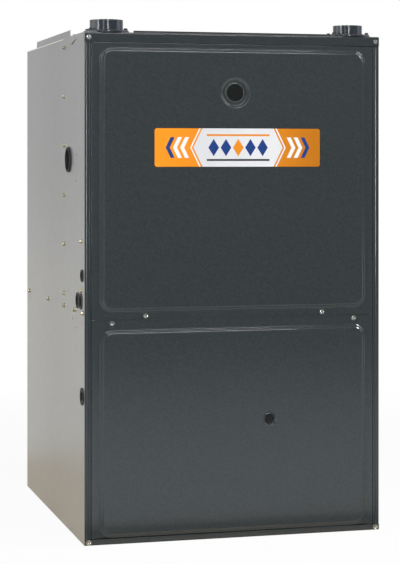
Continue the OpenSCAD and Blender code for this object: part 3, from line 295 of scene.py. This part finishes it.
door_coat = powder_coat("door_powder_coat", srgb(50, 55, 56), 0.115, 0.00006)
trim_coat = powder_coat("trim_powder_coat", srgb(47, 52, 54), 0.14, 0.00005)
# the casing's sheet carries painted shade across its depth
zinc_sheet = galvanised("zinc_sheet", srgb(167, 167, 166), depth_shade=0.12)
inner_sheet = galvanised("inner_zinc_sheet", srgb(176, 177, 178), 0.38, 0.8, 0.25)
# near-white metal whose brightness paints the highlight on the casing's top edges
edge_highlight_zinc = plain_metal("edge_highlight_zinc", srgb(250, 250, 248), 0.3, 1.0, contrast=0.02)
zinc_screw = plain_metal("zinc_screw", srgb(208, 209, 202), 0.2, 1.0)
yellow_zinc = plain_metal("yellow_zinc", srgb(178, 172, 146), 0.3, 0.9)
collar_plastic = plastic("collar_plastic", srgb(44, 48, 54), 0.17, 500, specular=0.8)
inner_plastic = plastic("inner_black_plastic", srgb(44, 46, 48), 0.45)
rotor_plastic = plastic("rotor_plastic", srgb(70, 72, 74), 0.4)
smoked_lens = plastic("smoked_lens", srgb(27, 29, 28), 0.2, 300, specular=0.2)
seal_rubber = plastic("seal_rubber", srgb(30, 31, 32), 0.7, 900)
grommet_rubber = plastic("grommet_rubber", srgb(34, 35, 36), 0.62, 900)
white_pipe = plastic("white_pipe", srgb(232, 231, 226), 0.35)
red_plastic = plastic("red_plastic", srgb(176, 34, 26), 0.32, 500, 0.3)
ceramic = plastic("unglazed_ceramic", srgb(226, 220, 206), 0.7, 500)
motor_enamel = powder_coat("motor_enamel", srgb(52, 55, 58), 0.36)
gas_pipe_paint = powder_coat("gas_pipe_paint", srgb(38, 39, 40), 0.4)
valve_casting = plain_metal("valve_casting", srgb(178, 180, 182), 0.48, 0.85, grain=900)
tube_steel = heat_tinted("aluminised_tube", srgb(150, 147, 142))
coil_metal = plain_metal("coil_fins", srgb(190, 192, 195), 0.34, 1.0, (1, 1, 8))
foil_face = foil("foil_facing")
board_green = circuit_board("circuit_board")
filter_media = filter_fibres("filter_media")
loom_sleeve = plastic("loom_sleeve", srgb(28, 28, 30), 0.6, 600)

LOOKS = {
    "side_panel_left": zinc_sheet, "side_panel_right": zinc_sheet, "back_panel": zinc_sheet,
    "supply_flange": zinc_sheet, "top_cover": zinc_sheet, "base_frame": zinc_sheet,
    "top_rail": trim_coat, "base_rail": trim_coat, "corner_posts": trim_coat,
    "upper_door": door_coat, "lower_door": door_coat,
    "blower_deck": inner_sheet, "vestibule_panel": inner_sheet, "burner_box": inner_sheet,
    "burner_box_cover": inner_sheet, "burners": inner_sheet, "junction_box": inner_sheet,
    "control_panel": inner_sheet, "blower_housing": inner_sheet, "blower_wheel": inner_sheet,
    "motor_mount": inner_sheet,
    "casing_screws": yellow_zinc, "corner_screws": zinc_screw, "upper_door_screws": zinc_screw,
    "lower_door_screws": zinc_screw,
    "vent_collar": collar_plastic, "intake_collar": collar_plastic, "collector_box": inner_plastic,
    "inducer_housing": inner_plastic, "inducer_rotor": rotor_plastic, "pressure_switch": inner_plastic,
    "safety_switches": inner_plastic, "door_switch": inner_plastic, "condensate_trap": inner_plastic,
    "sight_glass": smoked_lens, "status_window": smoked_lens, "badge_plate": badge_print(),
    "entry_grommets": grommet_rubber, "top_seals": seal_rubber,
    "upper_door_insulation": foil_face, "lower_door_insulation": foil_face,
    "heat_exchanger_tubes": tube_steel, "rear_header": tube_steel, "secondary_coil": coil_metal,
    "gas_valve": valve_casting, "gas_manifold": gas_pipe_paint, "gas_valve_knob": red_plastic,
    "reset_button_left": red_plastic, "reset_button_right": red_plastic, "door_switch_plunger": red_plastic,
    "igniter": ceramic, "flame_sensor": ceramic, "inducer_motor": motor_enamel,
    "blower_motor": motor_enamel, "transformer": motor_enamel, "vent_pipe": white_pipe,
    "intake_pipe": white_pipe, "control_board": board_green, "air_filter": filter_media,
    "wiring": loom_sleeve,
}
for node, look in LOOKS.items():
    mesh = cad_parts[node].data
    mesh.materials.clear()
    mesh.materials.append(look)


# ---------------------------------------------------------------- mesh helpers

def add_mesh(bm, name, looks, sharp_degrees, body):
    """Turns a finished bmesh into a smooth-shaded piece that rides a body."""
    mesh = bpy.data.meshes.new(name)
    bm.to_mesh(mesh)
    bm.free()
    for look in looks:
        mesh.materials.append(look)
    mesh.polygons.foreach_set("use_smooth", [True] * len(mesh.polygons))
    mesh.set_sharp_from_angle(angle=math.radians(sharp_degrees))
    made = bpy.data.objects.new(name, mesh)
    bpy.context.collection.objects.link(made)
    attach(made, body)
    return made


def turn(index, count):
    """The angle of one of count even places round a circle."""
    return 2 * math.pi * index / count


class Piece:
    """One mesh of several materials, built up from bevelled blocks, rods and rings. Sizes in mm."""

    def __init__(self, name, looks):
        self.name = name
        self.looks = looks
        self.bm = bmesh.new()

    def paint(self, faces, look):
        index = self.looks.index(look)
        for face in faces:
            face.material_index = index

    def soften(self, edges, width):
        bmesh.ops.bevel(self.bm, geom=list(edges), offset=width * MM, segments=2, affect="EDGES", material=-1)

    def block(self, low, high, look, bevel=0.5):
        low, high = Vector(low) * MM, Vector(high) * MM
        size = high - low
        place = Matrix.Translation((low + high) / 2) @ Matrix.Diagonal((*size, 1))
        made = bmesh.ops.create_cube(self.bm, size=1, matrix=place)
        faces = {f for v in made["verts"] for f in v.link_faces}
        self.paint(faces, look)
        edges = {e for v in made["verts"] for e in v.link_edges}
        if bevel:
            self.soften(edges, bevel)

    def rod(self, start, end, r, look, r2=None, sides=24, cap_bevel=0.3):
        start, end = Vector(start) * MM, Vector(end) * MM
        turn = (end - start).to_track_quat("Z", "Y").to_matrix().to_4x4()
        length = (end - start).length
        made = bmesh.ops.create_cone(self.bm, cap_ends=True, segments=sides, radius1=r * MM,
            radius2=(r if r2 is None else r2) * MM, depth=length,
            matrix=Matrix.Translation((start + end) / 2) @ turn)
        faces = {f for v in made["verts"] for f in v.link_faces}
        self.paint(faces, look)
        rims = [e for e in {e for v in made["verts"] for e in v.link_edges}
            if any(len(f.verts) > 4 for f in e.link_faces)]
        if cap_bevel:
            self.soften(rims, cap_bevel)

    def ring(self, centre, r_in, r_out, height, look, sides=48):
        """A band about +Z."""
        edge = 0.4
        rows = []
        for r, z in ((r_in, 0), (r_out, edge), (r_out, height - edge), (r_in, height)):
            spots = [(r * math.cos(turn(i, sides)), r * math.sin(turn(i, sides)), z) for i in range(sides)]
            rows.append([self.bm.verts.new((Vector(centre) + Vector(spot)) * MM) for spot in spots])
        faces = []
        for k in range(4):
            low, high = rows[k], rows[(k + 1) % 4]
            for i in range(sides):
                j = (i + 1) % sides
                faces.append(self.bm.faces.new((low[i], low[j], high[j], high[i])))
        self.paint(faces, look)

    def done(self):
        bmesh.ops.recalc_face_normals(self.bm, faces=self.bm.faces)
        return add_mesh(self.bm, self.name, self.looks, 35, "casing")


def wire(name, points, r, look):
    """A fixed wire or hose on a smooth curve through the points, in mm."""
    data = bpy.data.curves.new(name, "CURVE")
    data.dimensions = "3D"
    data.bevel_depth = r * MM
    data.bevel_resolution = 2 if r < 2 else 5
    data.resolution_u = 5 if r < 2 else 10
    data.use_fill_caps = True
    spline = data.splines.new("BEZIER")
    spline.bezier_points.add(len(points) - 1)
    for bezier, point in zip(spline.bezier_points, points):
        bezier.co = Vector(point) * MM
        bezier.handle_left_type = bezier.handle_right_type = "AUTO"
    data.materials.append(look)
    made = bpy.data.objects.new(name, data)
    bpy.context.collection.objects.link(made)
    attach(made, "casing")
    return made


# ---------------------------------------------------------------- pressed doors

HALF_W = 309
CASING_H = 1016
CASING_BACK = 342.75
FRONT = -337.25
MARGIN_Y = FRONT - 0.5
SHEET = 1.2
DOOR_HALF_W = 295.4
FIELD_HALF_W = 275
FIELD_R = 22
SIGHT_PORT = (0, 898.7)
STATUS_PORT = (71.9, 238.4)


def bend(x, h, r, start, end, steps):
    """An arc's points about (x, h), from one angle to another, in degrees from straight up."""
    turns = [math.radians(start + (end - start) * k / steps) for k in range(steps + 1)]
    return [(x + r * math.sin(a), h + r * math.cos(a)) for a in turns]


# The field's pressed edge: (distance from its foot, height above the margin). Two rises of the same
# slope with a narrow terrace between them.
FIELD_SLOPE = 36.5
FIELD_STEPS = ((-4.7, 0), (-3.9, 0), (-3.8, 0.03), (-3.74, 0.08), *bend(-0.44, -0.5, 2.4, -FIELD_SLOPE, 0, 4),
    *bend(0.46, 3.42, 1.5, 180, 180 - FIELD_SLOPE, 3), *bend(5.92, 0, 4.5, -FIELD_SLOPE, 0, 7), (6.72, 4.5))
# The dishes round the ports: (radius, height against the field), each with a rolled lip at its port
SIGHT_SLOPE = 38.5
SIGHT_DISH = ((32.6, 0), *bend(31.9, -3, 3, 0, -SIGHT_SLOPE, 5),
    *bend(24.95, -1.5, 2.5, 180 - SIGHT_SLOPE, 180, 4), (21, -4), (20.4, -3.95), (20, -3.75),
    (19.7, -3.42), (19.4, -3.12), (19, -2.95), (18.5, -2.92), (18, -3.08), (17.7, -3.4), (17.5, -3.9),
    (17.5, -4.9))
STATUS_DISH = ((15.9, 0), (15.3, 0), (15, -0.04), (14.7, -0.16), (14.45, -0.36), (13.35, -1.58),
    (13.05, -1.84), (12.7, -1.97), (12.3, -2), (11.8, -2), (11.45, -1.92), (11.2, -1.72), (10.95, -1.52),
    (10.6, -1.45), (10.25, -1.58), (10.05, -2), (10, -2.5), (10, -3))
# A door's turned edge: (distance in from the rim, depth behind the margin)
RIM = ((1.6, 0), (0.9, 0), (0.6, 0.05), (0.3, 0.2), (0.12, 0.4), (0.02, 0.7), (0, 1), (0, 8))


def rounded_outline(low, high, r, inset, steps=12):
    """Four arcs of points (x, z), anticlockwise from the lower right corner."""
    arcs = []
    for sx, sz, start in ((1, -1, -90), (1, 1, 0), (-1, 1, 90), (-1, -1, 180)):
        x = (high[0] if sx > 0 else low[0]) - sx * r
        z = (high[1] if sz > 0 else low[1]) - sz * r
        angles = [math.radians(start + 90 * k / steps) for k in range(steps + 1)]
        arc = [(x + (r - inset) * math.cos(a), z + (r - inset) * math.sin(a)) for a in angles]
        # a short straight piece at each end keeps the long edges' shading even
        run = 3
        along_x, along_z = (run * sx, 0), (0, run * sz)
        before, after = (along_z, along_x) if sx == sz else (along_x, along_z)
        first = (arc[0][0] - before[0], arc[0][1] - before[1])
        last = (arc[-1][0] - after[0], arc[-1][1] - after[1])
        arcs.append([first, *arc, last])
    return arcs


def finish_sheet(bm, name, look, body, node):
    """A pressed or folded sheet that takes the place of a CAD node."""
    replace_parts(add_mesh(bm, name, [look], 40, body), node)


def make_door(node, door, field, port, dish, turned_up):
    """A door of one pressed sheet: margin, turned edges, raised field, and the dish round its port."""
    bm = bmesh.new()

    def vert(x, z, h):
        return bm.verts.new((x * MM, (MARGIN_Y - h) * MM, z * MM))

    def strip(low, high):
        for i in range(len(low)):
            j = (i + 1) % len(low)
            bm.faces.new((low[i], low[j], high[j], high[i]))

    rows = []
    for inset, h in FIELD_STEPS:
        outline = rounded_outline(field[0], field[1], FIELD_R, inset)
        rows.append([[vert(x, z, h) for x, z in arc] for arc in outline])
    loops = [[v for arc in arcs for v in arc] for arcs in rows]
    for low, high in zip(loops, loops[1:]):
        strip(low, high)
    rim_r = RIM[0][0]
    bottom, top = (0, rim_r) if turned_up else (rim_r, 0)
    low = (door[0][0] + rim_r, door[0][1] + bottom)
    high = (door[1][0] - rim_r, door[1][1] - top)
    corners = [vert(x, z, 0) for x, z in ((high[0], low[1]), high, (low[0], high[1]), low)]
    for k, arc in enumerate(rows[0]):
        for a, b in zip(arc, arc[1:]):
            bm.faces.new((corners[k], b, a))
        after = (k + 1) % 4
        bm.faces.new((corners[k], corners[after], rows[0][after][0], arc[-1]))
    for k, side in enumerate(((1, 0), (0, 1), (-1, 0), (0, -1))):
        if side == ((0, -1) if turned_up else (0, 1)):
            continue
        ends = [corners[k], corners[(k + 1) % 4]]
        before = ends
        for inset, depth in RIM[1:]:
            out = (rim_r - inset) * MM
            shift = Vector((side[0] * out, depth * MM, side[1] * out))
            row = [bm.verts.new(end.co + shift) for end in ends]
            bm.faces.new((before[0], before[1], row[1], row[0]))
            before = row
    sides = 64
    top_h = FIELD_STEPS[-1][1]
    circles = []
    for r, h in dish:
        spots = [(r * math.cos(turn(i, sides)), r * math.sin(turn(i, sides))) for i in range(sides)]
        circles.append([vert(port[0] + x, port[1] + z, top_h + h) for x, z in spots])
    for outer, inner in zip(circles, circles[1:]):
        strip(outer, inner)

    def edges(loop):
        return [bm.edges.get((loop[i], loop[(i + 1) % len(loop)])) for i in range(len(loop))]

    bmesh.ops.triangle_fill(bm, use_beauty=True, edges=edges(loops[-1]) + edges(circles[0]))
    bmesh.ops.recalc_face_normals(bm, faces=bm.faces)
    flat = max(bm.faces, key=lambda f: f.calc_area())
    if flat.normal.y > 0:
        bmesh.ops.reverse_faces(bm, faces=bm.faces)
    bm.normal_update()
    faces, rim = list(bm.faces), [e for e in bm.edges if e.is_boundary]
    back = {v: bm.verts.new(v.co - v.normal * SHEET * MM) for v in list(bm.verts)}
    for face in faces:
        bm.faces.new([back[v] for v in reversed(face.verts)])
    for edge in rim:
        a, b = edge.verts
        bm.faces.new((a, b, back[b], back[a]))
    bmesh.ops.recalc_face_normals(bm, faces=bm.faces)
    finish_sheet(bm, node + "_pressed", door_coat, node, node)


def make_posts():
    """Corner posts of folded sheet, each with a round rib that fades out under the rails."""
    outline = [(-HALF_W, -335.75), (-HALF_W, -337), (-308.9, -337.18), (-308.7, FRONT), (-307.2, FRONT),
        *bend(-304, -336.15, 2.3, 240, 120, 24), (-301.2, -336.6), (-300.3, -336.5),
        *bend(-298.9, -336.35, 0.9, 255, 180, 5), (-297.2, FRONT), (-296.6, -337.1), (-296.16, -336.66),
        (-296, -336.1), (-296, -334.55), (-307.8, -334.55), (-307.8, -335.75)]
    # Heights with the share of the rib that stands there
    levels = ((1.5, 0), (10, 0), (11, 0), (15, 1), (16, 1), (991, 1), (992, 1), (996.3, 0), (997, 0),
        (1014.5, 0))
    bm = bmesh.new()
    for side in (1, -1):
        rows = []
        for z, share in levels:
            section = [(x, y + (1 - share) * max(0, FRONT - y)) for x, y in outline]
            rows.append([bm.verts.new((side * x * MM, y * MM, z * MM)) for x, y in section])
        for low, high in zip(rows, rows[1:]):
            for i in range(len(outline)):
                j = (i + 1) % len(outline)
                bm.faces.new((low[i], low[j], high[j], high[i]))
        bm.faces.new(rows[0])
        bm.faces.new(rows[-1])
    bmesh.ops.recalc_face_normals(bm, faces=bm.faces)
    finish_sheet(bm, "corner_posts_folded", trim_coat, "casing", "corner_posts")


def make_hems():
    """Rounded edges on the galvanised casing, where the sheet is cut and turned. The top edges are near-white
    metal, a painted highlight along them.
    """
    hems = Piece("casing_hems", [edge_highlight_zinc, zinc_sheet])
    top_r, r = 0.9, 0.8
    hem_x, hem_y = HALF_W - r, CASING_BACK - r
    top, cover_back, front = CASING_H - r, -112, -335

    def hem(start, end, radius, look):
        hems.rod(start, end, radius, look, sides=12, cap_bevel=0)

    for side in (-1, 1):
        x = side * hem_x
        top_x, top_z = side * (HALF_W - 0.1), CASING_H - 0.5
        # the top edges take the near-white metal: a painted edge highlight
        hem((top_x, cover_back, top_z), (top_x, 341.8, top_z), top_r, edge_highlight_zinc)
        hem((x, hem_y, r), (x, hem_y, top), r, zinc_sheet)
        hem((x, front, r), (x, 341.9, r), r, zinc_sheet)
    hem((-hem_x, hem_y, top), (hem_x, hem_y, top), r, edge_highlight_zinc)
    hems.done()


def make_seam_shade_seal():
    """A thin dark seal on the deck's front drop, where the doors' margins meet; it also paints the shade in
    the seam between the doors.
    """
    seal = Piece("door_seam_shade_seal", [seal_rubber])
    # dark seal strip behind the seam: partly a seal, partly painted shade in the gap
    seal.block((-289, -336.5, 441.5), (289, -336.27, 449.5), seal_rubber, 0.08)
    seal.done()


def make_doors():
    for node, span, field_span, port, dish in (
            ("upper_door", (445.6, 996.7), (463, 984.5), SIGHT_PORT, SIGHT_DISH),
            ("lower_door", (12.6, 445.0), (17, 422.5), STATUS_PORT, STATUS_DISH)):
        door = ((-DOOR_HALF_W, span[0]), (DOOR_HALF_W, span[1]))
        field = ((-FIELD_HALF_W, field_span[0]), (FIELD_HALF_W, field_span[1]))
        make_door(node, door, field, port, dish, turned_up=node == "upper_door")


# ---------------------------------------------------------------- control board

BOARD_FRONT = -254.85
BOARD_BACK = -253.25
BOARD_Z = 150.4


def make_control_board():
    """The board on its posts, with relays, terminals, capacitors, chip, resistors and status light."""
    black = plastic("part_black", srgb(36, 37, 39), 0.35)
    blue = plastic("part_blue", srgb(38, 70, 138), 0.3)
    ivory = plastic("part_ivory", srgb(216, 208, 184), 0.42)
    violet = plastic("part_violet", srgb(112, 78, 160), 0.25)
    amber = plastic("part_amber", srgb(232, 150, 40), 0.12, coat=0.6)
    bright = plain_metal("part_tin", srgb(196, 198, 200), 0.25, 1.0)
    y = BOARD_FRONT
    z0 = BOARD_Z
    board = Piece("control_board_detail", [board_green, black, blue, ivory, violet, amber, bright])
    board.block((8, y, z0), (160, BOARD_BACK, z0 + 168), board_green, 0.4)
    for x in (20, 150):
        for z in (z0 + 8, z0 + 160):
            board.rod((x, BOARD_BACK, z), (x, BOARD_BACK + 5.7, z), 3.5, bright)
            board.rod((x, y + 0.2, z), (x, y - 2.2, z), 3.2, bright, sides=20)
            board.block((x - 2.4, y - 2.5, z - 0.35), (x + 2.4, y - 1.9, z + 0.35), black, 0.1)
    for i in range(4):
        x = 16 + 34 * i
        board.block((x, y - 18, z0 + 20), (x + 28, y + 0.2, z0 + 46), black, 1.0)
        board.block((x + 4, y - 18.4, z0 + 26), (x + 24, y - 17.8, z0 + 40), ivory if i % 2 else blue, 0.2)
    board.block((16, y - 12, z0 + 128), (120, y + 0.2, z0 + 144), ivory, 0.8)
    for i in range(8):
        x = 22.5 + 13 * i
        board.rod((x, y - 11.6, z0 + 138), (x, y - 13.2, z0 + 138), 3.1, bright, sides=16)
        board.block((x - 2.2, y - 13.5, z0 + 137.7), (x + 2.2, y - 13.0, z0 + 138.3), black, 0.1)
        board.block((x - 4.6, y - 12.6, z0 + 128.5), (x - 3.6, y - 11.8, z0 + 143.5), ivory, 0.1)
    board.block((100, y - 14, z0 + 60), (136, y + 0.2, z0 + 100), black, 0.8)
    for i in range(3):
        x = 28 + 16 * i
        board.rod((x, y + 0.2, z0 + 104), (x, y - 21, z0 + 104), 6.4, blue)
        board.rod((x, y - 20.6, z0 + 104), (x, y - 21.6, z0 + 104), 5.4, bright)
    led = STATUS_PORT
    board.rod((led[0], y + 0.2, led[1]), (led[0], y - 7, led[1]), 2.5, amber, sides=20)
    board.rod((led[0], y - 6.6, led[1]), (led[0], y - 9, led[1]), 2.5, amber, r2=1.2, sides=20)
    board.block((126, y - 10, z0 + 126), (140, y + 0.2, z0 + 150), violet, 0.6)
    board.block((84, y - 2.4, z0 + 66), (94, y + 0.2, z0 + 92), black, 0.2)
    for i in range(6):
        z = z0 + 69 + 4 * i
        for side in (82.6, 94):
            board.block((side, y - 1.2, z), (side + 1.4, y - 0.4, z + 1.2), bright, 0)
    for i in range(11):
        x = 18 + 5.4 * i
        board.rod((x, y - 1.5, z0 + 62), (x, y - 1.5, z0 + 71), 1.1, ivory if i % 3 else blue,
            sides=10, cap_bevel=0.2)
        for z, lead in ((z0 + 60, 1.9), (z0 + 73, -1.9)):
            board.rod((x, y - 1.5, z), (x, y - 1.5, z + lead), 0.35, bright, sides=6, cap_bevel=0)
    for x, z in ((24, 84), (38, 88), (52, 82), (146, 72), (146, 88), (112, 112), (124, 116)):
        board.rod((x, y + 0.2, z0 + z), (x, y - 2.6, z0 + z), 2.8, ivory if x < 100 else blue, sides=16)
    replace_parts(board.done(), "control_board")


# ---------------------------------------------------------------- wiring and clamps

def make_wiring():
    """The loom in its sleeve, and the wires that leave it at both ends."""
    colours = {"red": (170, 34, 30), "white": (226, 224, 216), "blue": (40, 74, 150),
        "yellow": (222, 184, 50), "green": (42, 120, 66), "brown": (104, 70, 44), "orange": (224, 122, 36),
        "black": (36, 36, 38)}
    jackets = {name: plastic("jacket_" + name, srgb(*rgb), 0.42) for name, rgb in colours.items()}
    wire_r, supply_r, sleeve_r, hose_r = 1.25, 1.4, 6.6, 3.4
    x, y = 215, -217.25
    sleeve = wire("wiring_sleeve", [(172, y, 204), (190, y, 200), (207, y, 206), (x, y, 228), (x, y, 330),
        (x, y, 466), (x, y, 600), (x, y, 676), (x, y + 8, 697), (x, y + 30, 703), (x, -124, 703)],
        sleeve_r, loom_sleeve)
    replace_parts(sleeve, "wiring")
    upper_row, lower_row = 297, 198
    to_board = [("red", (30, upper_row)), ("white", (44, upper_row)), ("blue", (58, upper_row)),
        ("yellow", (72, upper_row)), ("green", (86, upper_row)), ("brown", (100, upper_row)),
        ("orange", (112, lower_row)), ("black", (146, lower_row))]
    for i, (name, (bx, bz)) in enumerate(to_board):
        rise = i * 2.6
        if bz == upper_row:
            turn_z, near_z, entry_z = 232 + 2 * rise, (232 + bz) / 2 + rise, bz + 4
        else:
            turn_z, near_z, entry_z = 190 + rise, 200 + rise, bz + 6
        wire("wire_board_" + name, [(172, y + 2 - 0.6 * i, 200 + i), (180 + i, -236, 199 + i),
            (178 - i, -262 - i, 206 + rise), (156, -276 - i, turn_z), (bx + 16, -280 - i, near_z),
            (bx, -278, entry_z), (bx, -268, bz)], wire_r, jackets[name])
    back = -119
    runs = {
        "red": [(x, -122, 706), (200, back, 722), (184, back, 760), (181, -130, 800), (226, -200, 850),
            (228, -250, 910), (196, -262, 934), (182, -259, 930)],
        "orange": [(x, -122, 708), (206, back, 730), (170, back, 770), (160, -122, 788)],
        "white": [(x, -122, 704), (186, back, 740), (100, back, 742), (48, -122, 742)],
        "yellow": [(x, -122, 702), (206, back, 726), (178, -148, 746), (158, -190, 748), (150, -222, 752)],
        "blue": [(x, -122, 700), (212, -128, 690), (206, -140, 684), (198.5, -140, 679.5)],
        "brown": [(x, -122, 706), (160, back, 778), (40, back, 786), (-100, back, 790), (-160, -122, 796)],
        "black": [(x, -122, 699), (208, back, 668), (196, back, 650), (150, back, 632), (40, -170, 640),
            (-20, -230, 624), (-70, -262, 598), (-84, -262, 592)],
    }
    for name, points in runs.items():
        wire("wire_top_" + name, points, wire_r, jackets[name])
    for name, up in (("black", 0), ("white", 3), ("green", 6)):
        wire("wire_supply_" + name, [(-286, -300, 533 + up), (-278, -322, 533 + up), (-266, -330.5, 529 + up),
            (-256, -324, 514 + up), (-250, -290, 488 + up), (-240, -250, 474 + up / 2),
            (-160, -236, 472.5 + up), (60, -228, 470 + up), (190, -222, 472 + up), (204, -219, 480 + up)],
            supply_r, jackets[name])
    wire("pressure_hose", [(156, -138.5, 650), (156, -139.5, 624), (140, -160, 602), (90, -175, 602),
        (20, -180, 612), (-30, -184, 600), (-40, -190, 584)], hose_r, seal_rubber)


def make_clamps():
    """Worm-drive bands on the vent elbow's two sleeves."""
    clamps = Piece("vent_clamps", [zinc_screw])
    for cx, cy, z, facing in ((-152, -192.55, 653, -0.6), (-256, -294.25, 771, -0.3)):
        clamps.ring((cx, cy, z), 33.8, 34.7, 12, zinc_screw)
        hx, hy = math.sin(facing) * 37, -math.cos(facing) * 37
        side = Vector((math.cos(facing), math.sin(facing), 0))
        middle = Vector((cx + hx, cy + hy, z + 6))
        clamps.rod(middle - side * 8, middle + side * 8, 4.2, zinc_screw, sides=16)
        clamps.rod(middle + side * 7.6, middle + side * 14, 3.6, zinc_screw, sides=6)
    clamps.done()


make_doors()
make_posts()
make_hems()
make_seam_shade_seal()
make_control_board()
make_wiring()
make_clamps()


# ---------------------------------------------------------------- stage, lights and camera

# Colours that the gloss sees: the room's strength, the sweep, and the floor's zones
ROOM = 0.05
DIM_STUDIO = (0.10, 0.11, 0.12, 1)
BACKDROP = (0.64, 0.635, 0.64, 1)
FAR_FLOOR = (0.10, 0.11, 0.12, 1)
NEAR_FLOOR = (0.86, 0.92, 1.0, 1)
# a dark band in the floor's gloss just in front of the doors: painted shadow of the furnace
SHADOW_BAND_FLOOR = (0.2, 0.2, 0.19, 1)
WARM_FLOOR = (0.68, 0.60, 0.47, 1)
BACK_FLOOR = (0.84, 0.82, 0.78, 1)


def make_floor():
    """A pale floor: white to the camera with the object's shadow kept. To gloss it glows as pale paper,
    warm round the object, with a band of painted shadow just in front of it, a bright sweep behind it and a
    dim room in front."""
    mesh = bpy.data.meshes.new("floor")
    half = 14
    corners = [(-half, -half, 0), (half, -half, 0), (half, half, 0), (-half, half, 0)]
    mesh.from_pydata(corners, [], [(0, 1, 2, 3)])
    floor = bpy.data.objects.new("floor", mesh)
    bpy.context.collection.objects.link(floor)
    m = Nodes("pale_floor")
    m.tree.nodes.remove(m.shader)
    out = next(n for n in m.tree.nodes if n.type == "OUTPUT_MATERIAL")
    lit = m.node("BsdfDiffuse", Color=(0.86, 0.845, 0.815, 1))
    white = m.node("Emission", Color=(1, 1, 1, 1))
    y = m.axis(1)
    front = m.mix(m.step(y, -4.5, -0.7), FAR_FLOOR, NEAR_FLOOR)
    around = m.mix(m.step(y, -0.75, -0.3), front, WARM_FLOOR)
    # painted shadow: the band of floor just in front of the doors turns dark for gloss
    painted_shadow_band = m.times(m.step(y, -0.56, -0.48), m.math("SUBTRACT", 1, m.step(y, -0.42, -0.36)))
    around = m.mix(painted_shadow_band, around, SHADOW_BAND_FLOOR)
    gloss = m.node("Emission", Color=m.mix(m.step(y, 0.7, 0.85), around, BACK_FLOOR))
    path = m.node("LightPath")
    away = m.node("VectorMath")
    away.operation = "LENGTH"
    m.feed(away.inputs[0], m.coords)
    near_white, far_white = 0.94, 1.0
    far_off = m.step(away.outputs["Value"], 0.8, 2.4)
    whiteness = m.plus(near_white, m.times(far_off, far_white - near_white))
    share = m.times(path.outputs["Is Camera Ray"], whiteness)
    seen = m.node("MixShader", Fac=share)
    m.feed(seen.inputs[1], lit.outputs[0])
    m.feed(seen.inputs[2], white.outputs[0])
    mirrored = m.node("MixShader", Fac=path.outputs["Is Glossy Ray"])
    m.feed(mirrored.inputs[1], seen.outputs[0])
    m.feed(mirrored.inputs[2], gloss.outputs[0])
    m.feed(out.inputs["Surface"], mirrored.outputs[0])
    mesh.materials.append(m.material)


def make_world():
    """White behind the object, as a sweep, and a dim studio in front of it."""
    world = bpy.data.worlds.new("studio")
    bpy.context.scene.world = world
    world.use_nodes = True
    tree = world.node_tree
    tree.nodes.clear()

    def add(kind, **inputs):
        made = tree.nodes.new("ShaderNode" + kind)
        for socket, value in inputs.items():
            if isinstance(value, bpy.types.NodeSocket):
                tree.links.new(value, made.inputs[socket])
            else:
                made.inputs[socket].default_value = value
        return made

    out = add("OutputWorld")
    seen = add("Background", Color=(1, 1, 1, 1))
    room = add("Background", Color=(0.95, 0.97, 1.0, 1), Strength=ROOM)
    direction = add("SeparateXYZ", Vector=add("TexCoord").outputs["Generated"])
    behind = add("MapRange", Value=direction.outputs[1], **{"From Min": -0.15, "From Max": 0.75})
    behind.interpolation_type = "SMOOTHSTEP"
    tone = tree.nodes.new("ShaderNodeMix")
    tone.data_type = "RGBA"
    tree.links.new(behind.outputs[0], tone.inputs["Factor"])
    tone.inputs["A"].default_value = DIM_STUDIO
    tone.inputs["B"].default_value = BACKDROP
    gloss = add("Background", Color=tone.outputs["Result"])
    path = add("LightPath")
    mirrored = add("MixShader", Fac=path.outputs["Is Glossy Ray"])
    tree.links.new(room.outputs[0], mirrored.inputs[1])
    tree.links.new(gloss.outputs[0], mirrored.inputs[2])
    mix = add("MixShader", Fac=path.outputs["Is Camera Ray"])
    tree.links.new(mirrored.outputs[0], mix.inputs[1])
    tree.links.new(seen.outputs[0], mix.inputs[2])
    tree.links.new(mix.outputs[0], out.inputs["Surface"])


def make_light(name, place, target, size, power, tint=(1, 1, 1)):
    """A rectangular lamp that faces its target. Places and sizes in metres."""
    light = bpy.data.lights.new(name, "AREA")
    light.shape = "RECTANGLE"
    light.size, light.size_y = size
    light.energy = power
    light.color = tint
    lamp = bpy.data.objects.new(name, light)
    lamp.location = place
    lamp.rotation_euler = (Vector(target) - Vector(place)).to_track_quat("-Z", "Y").to_euler()
    bpy.context.collection.objects.link(lamp)


def make_camera():
    """A level camera with a vertical shift, 15 degrees round to the left of the doors."""
    data = bpy.data.cameras.new("camera")
    photo_h, focal_px, horizon_px = 564, 1805, 158.54
    data.sensor_width = 36
    data.lens = focal_px / photo_h * data.sensor_width
    data.shift_y = -(photo_h / 2 - horizon_px) / photo_h
    data.clip_end = 60
    camera = bpy.data.objects.new("camera", data)
    camera.location = (-1.0119, -3.84145, 0.7659)
    camera.rotation_euler = (math.radians(90), 0, math.radians(-15))
    bpy.context.collection.objects.link(camera)
    bpy.context.scene.camera = camera


make_floor()
make_world()
make_light("side_left", (-3.8, 0.6, 1.5), (0, 0, 0.5), (3.0, 2.6), 28)
make_light("left_strip", (-3.0, -1.3, 0.76), (0, -0.3, 0.7), (0.15, 0.8), 40, (0.85, 0.93, 1.0))
make_light("left_front", (-1.9, -3.0, 0.75), (0, -0.3, 0.7), (0.15, 1.1), 5)
make_light("window_right", (3.7, -0.9, 1.6), (0, 0, 0.9), (1.8, 0.7), 7, (0.72, 0.82, 1.0))
make_light("front_high", (0.0, -2.7, 2.7), (0, 0, 0.7), (2.4, 0.25), 68)
make_light("front_strip", (-0.32, -4.2, 1.5), (0, 0, 0.9), (0.28, 0.5), 11)
make_light("key_right", (2.75, -1.3, 2.8), (0.2, -0.3, 0.85), (0.22, 1.85), 75)
make_camera()
bpy.context.scene.view_settings.view_transform = "Standard"
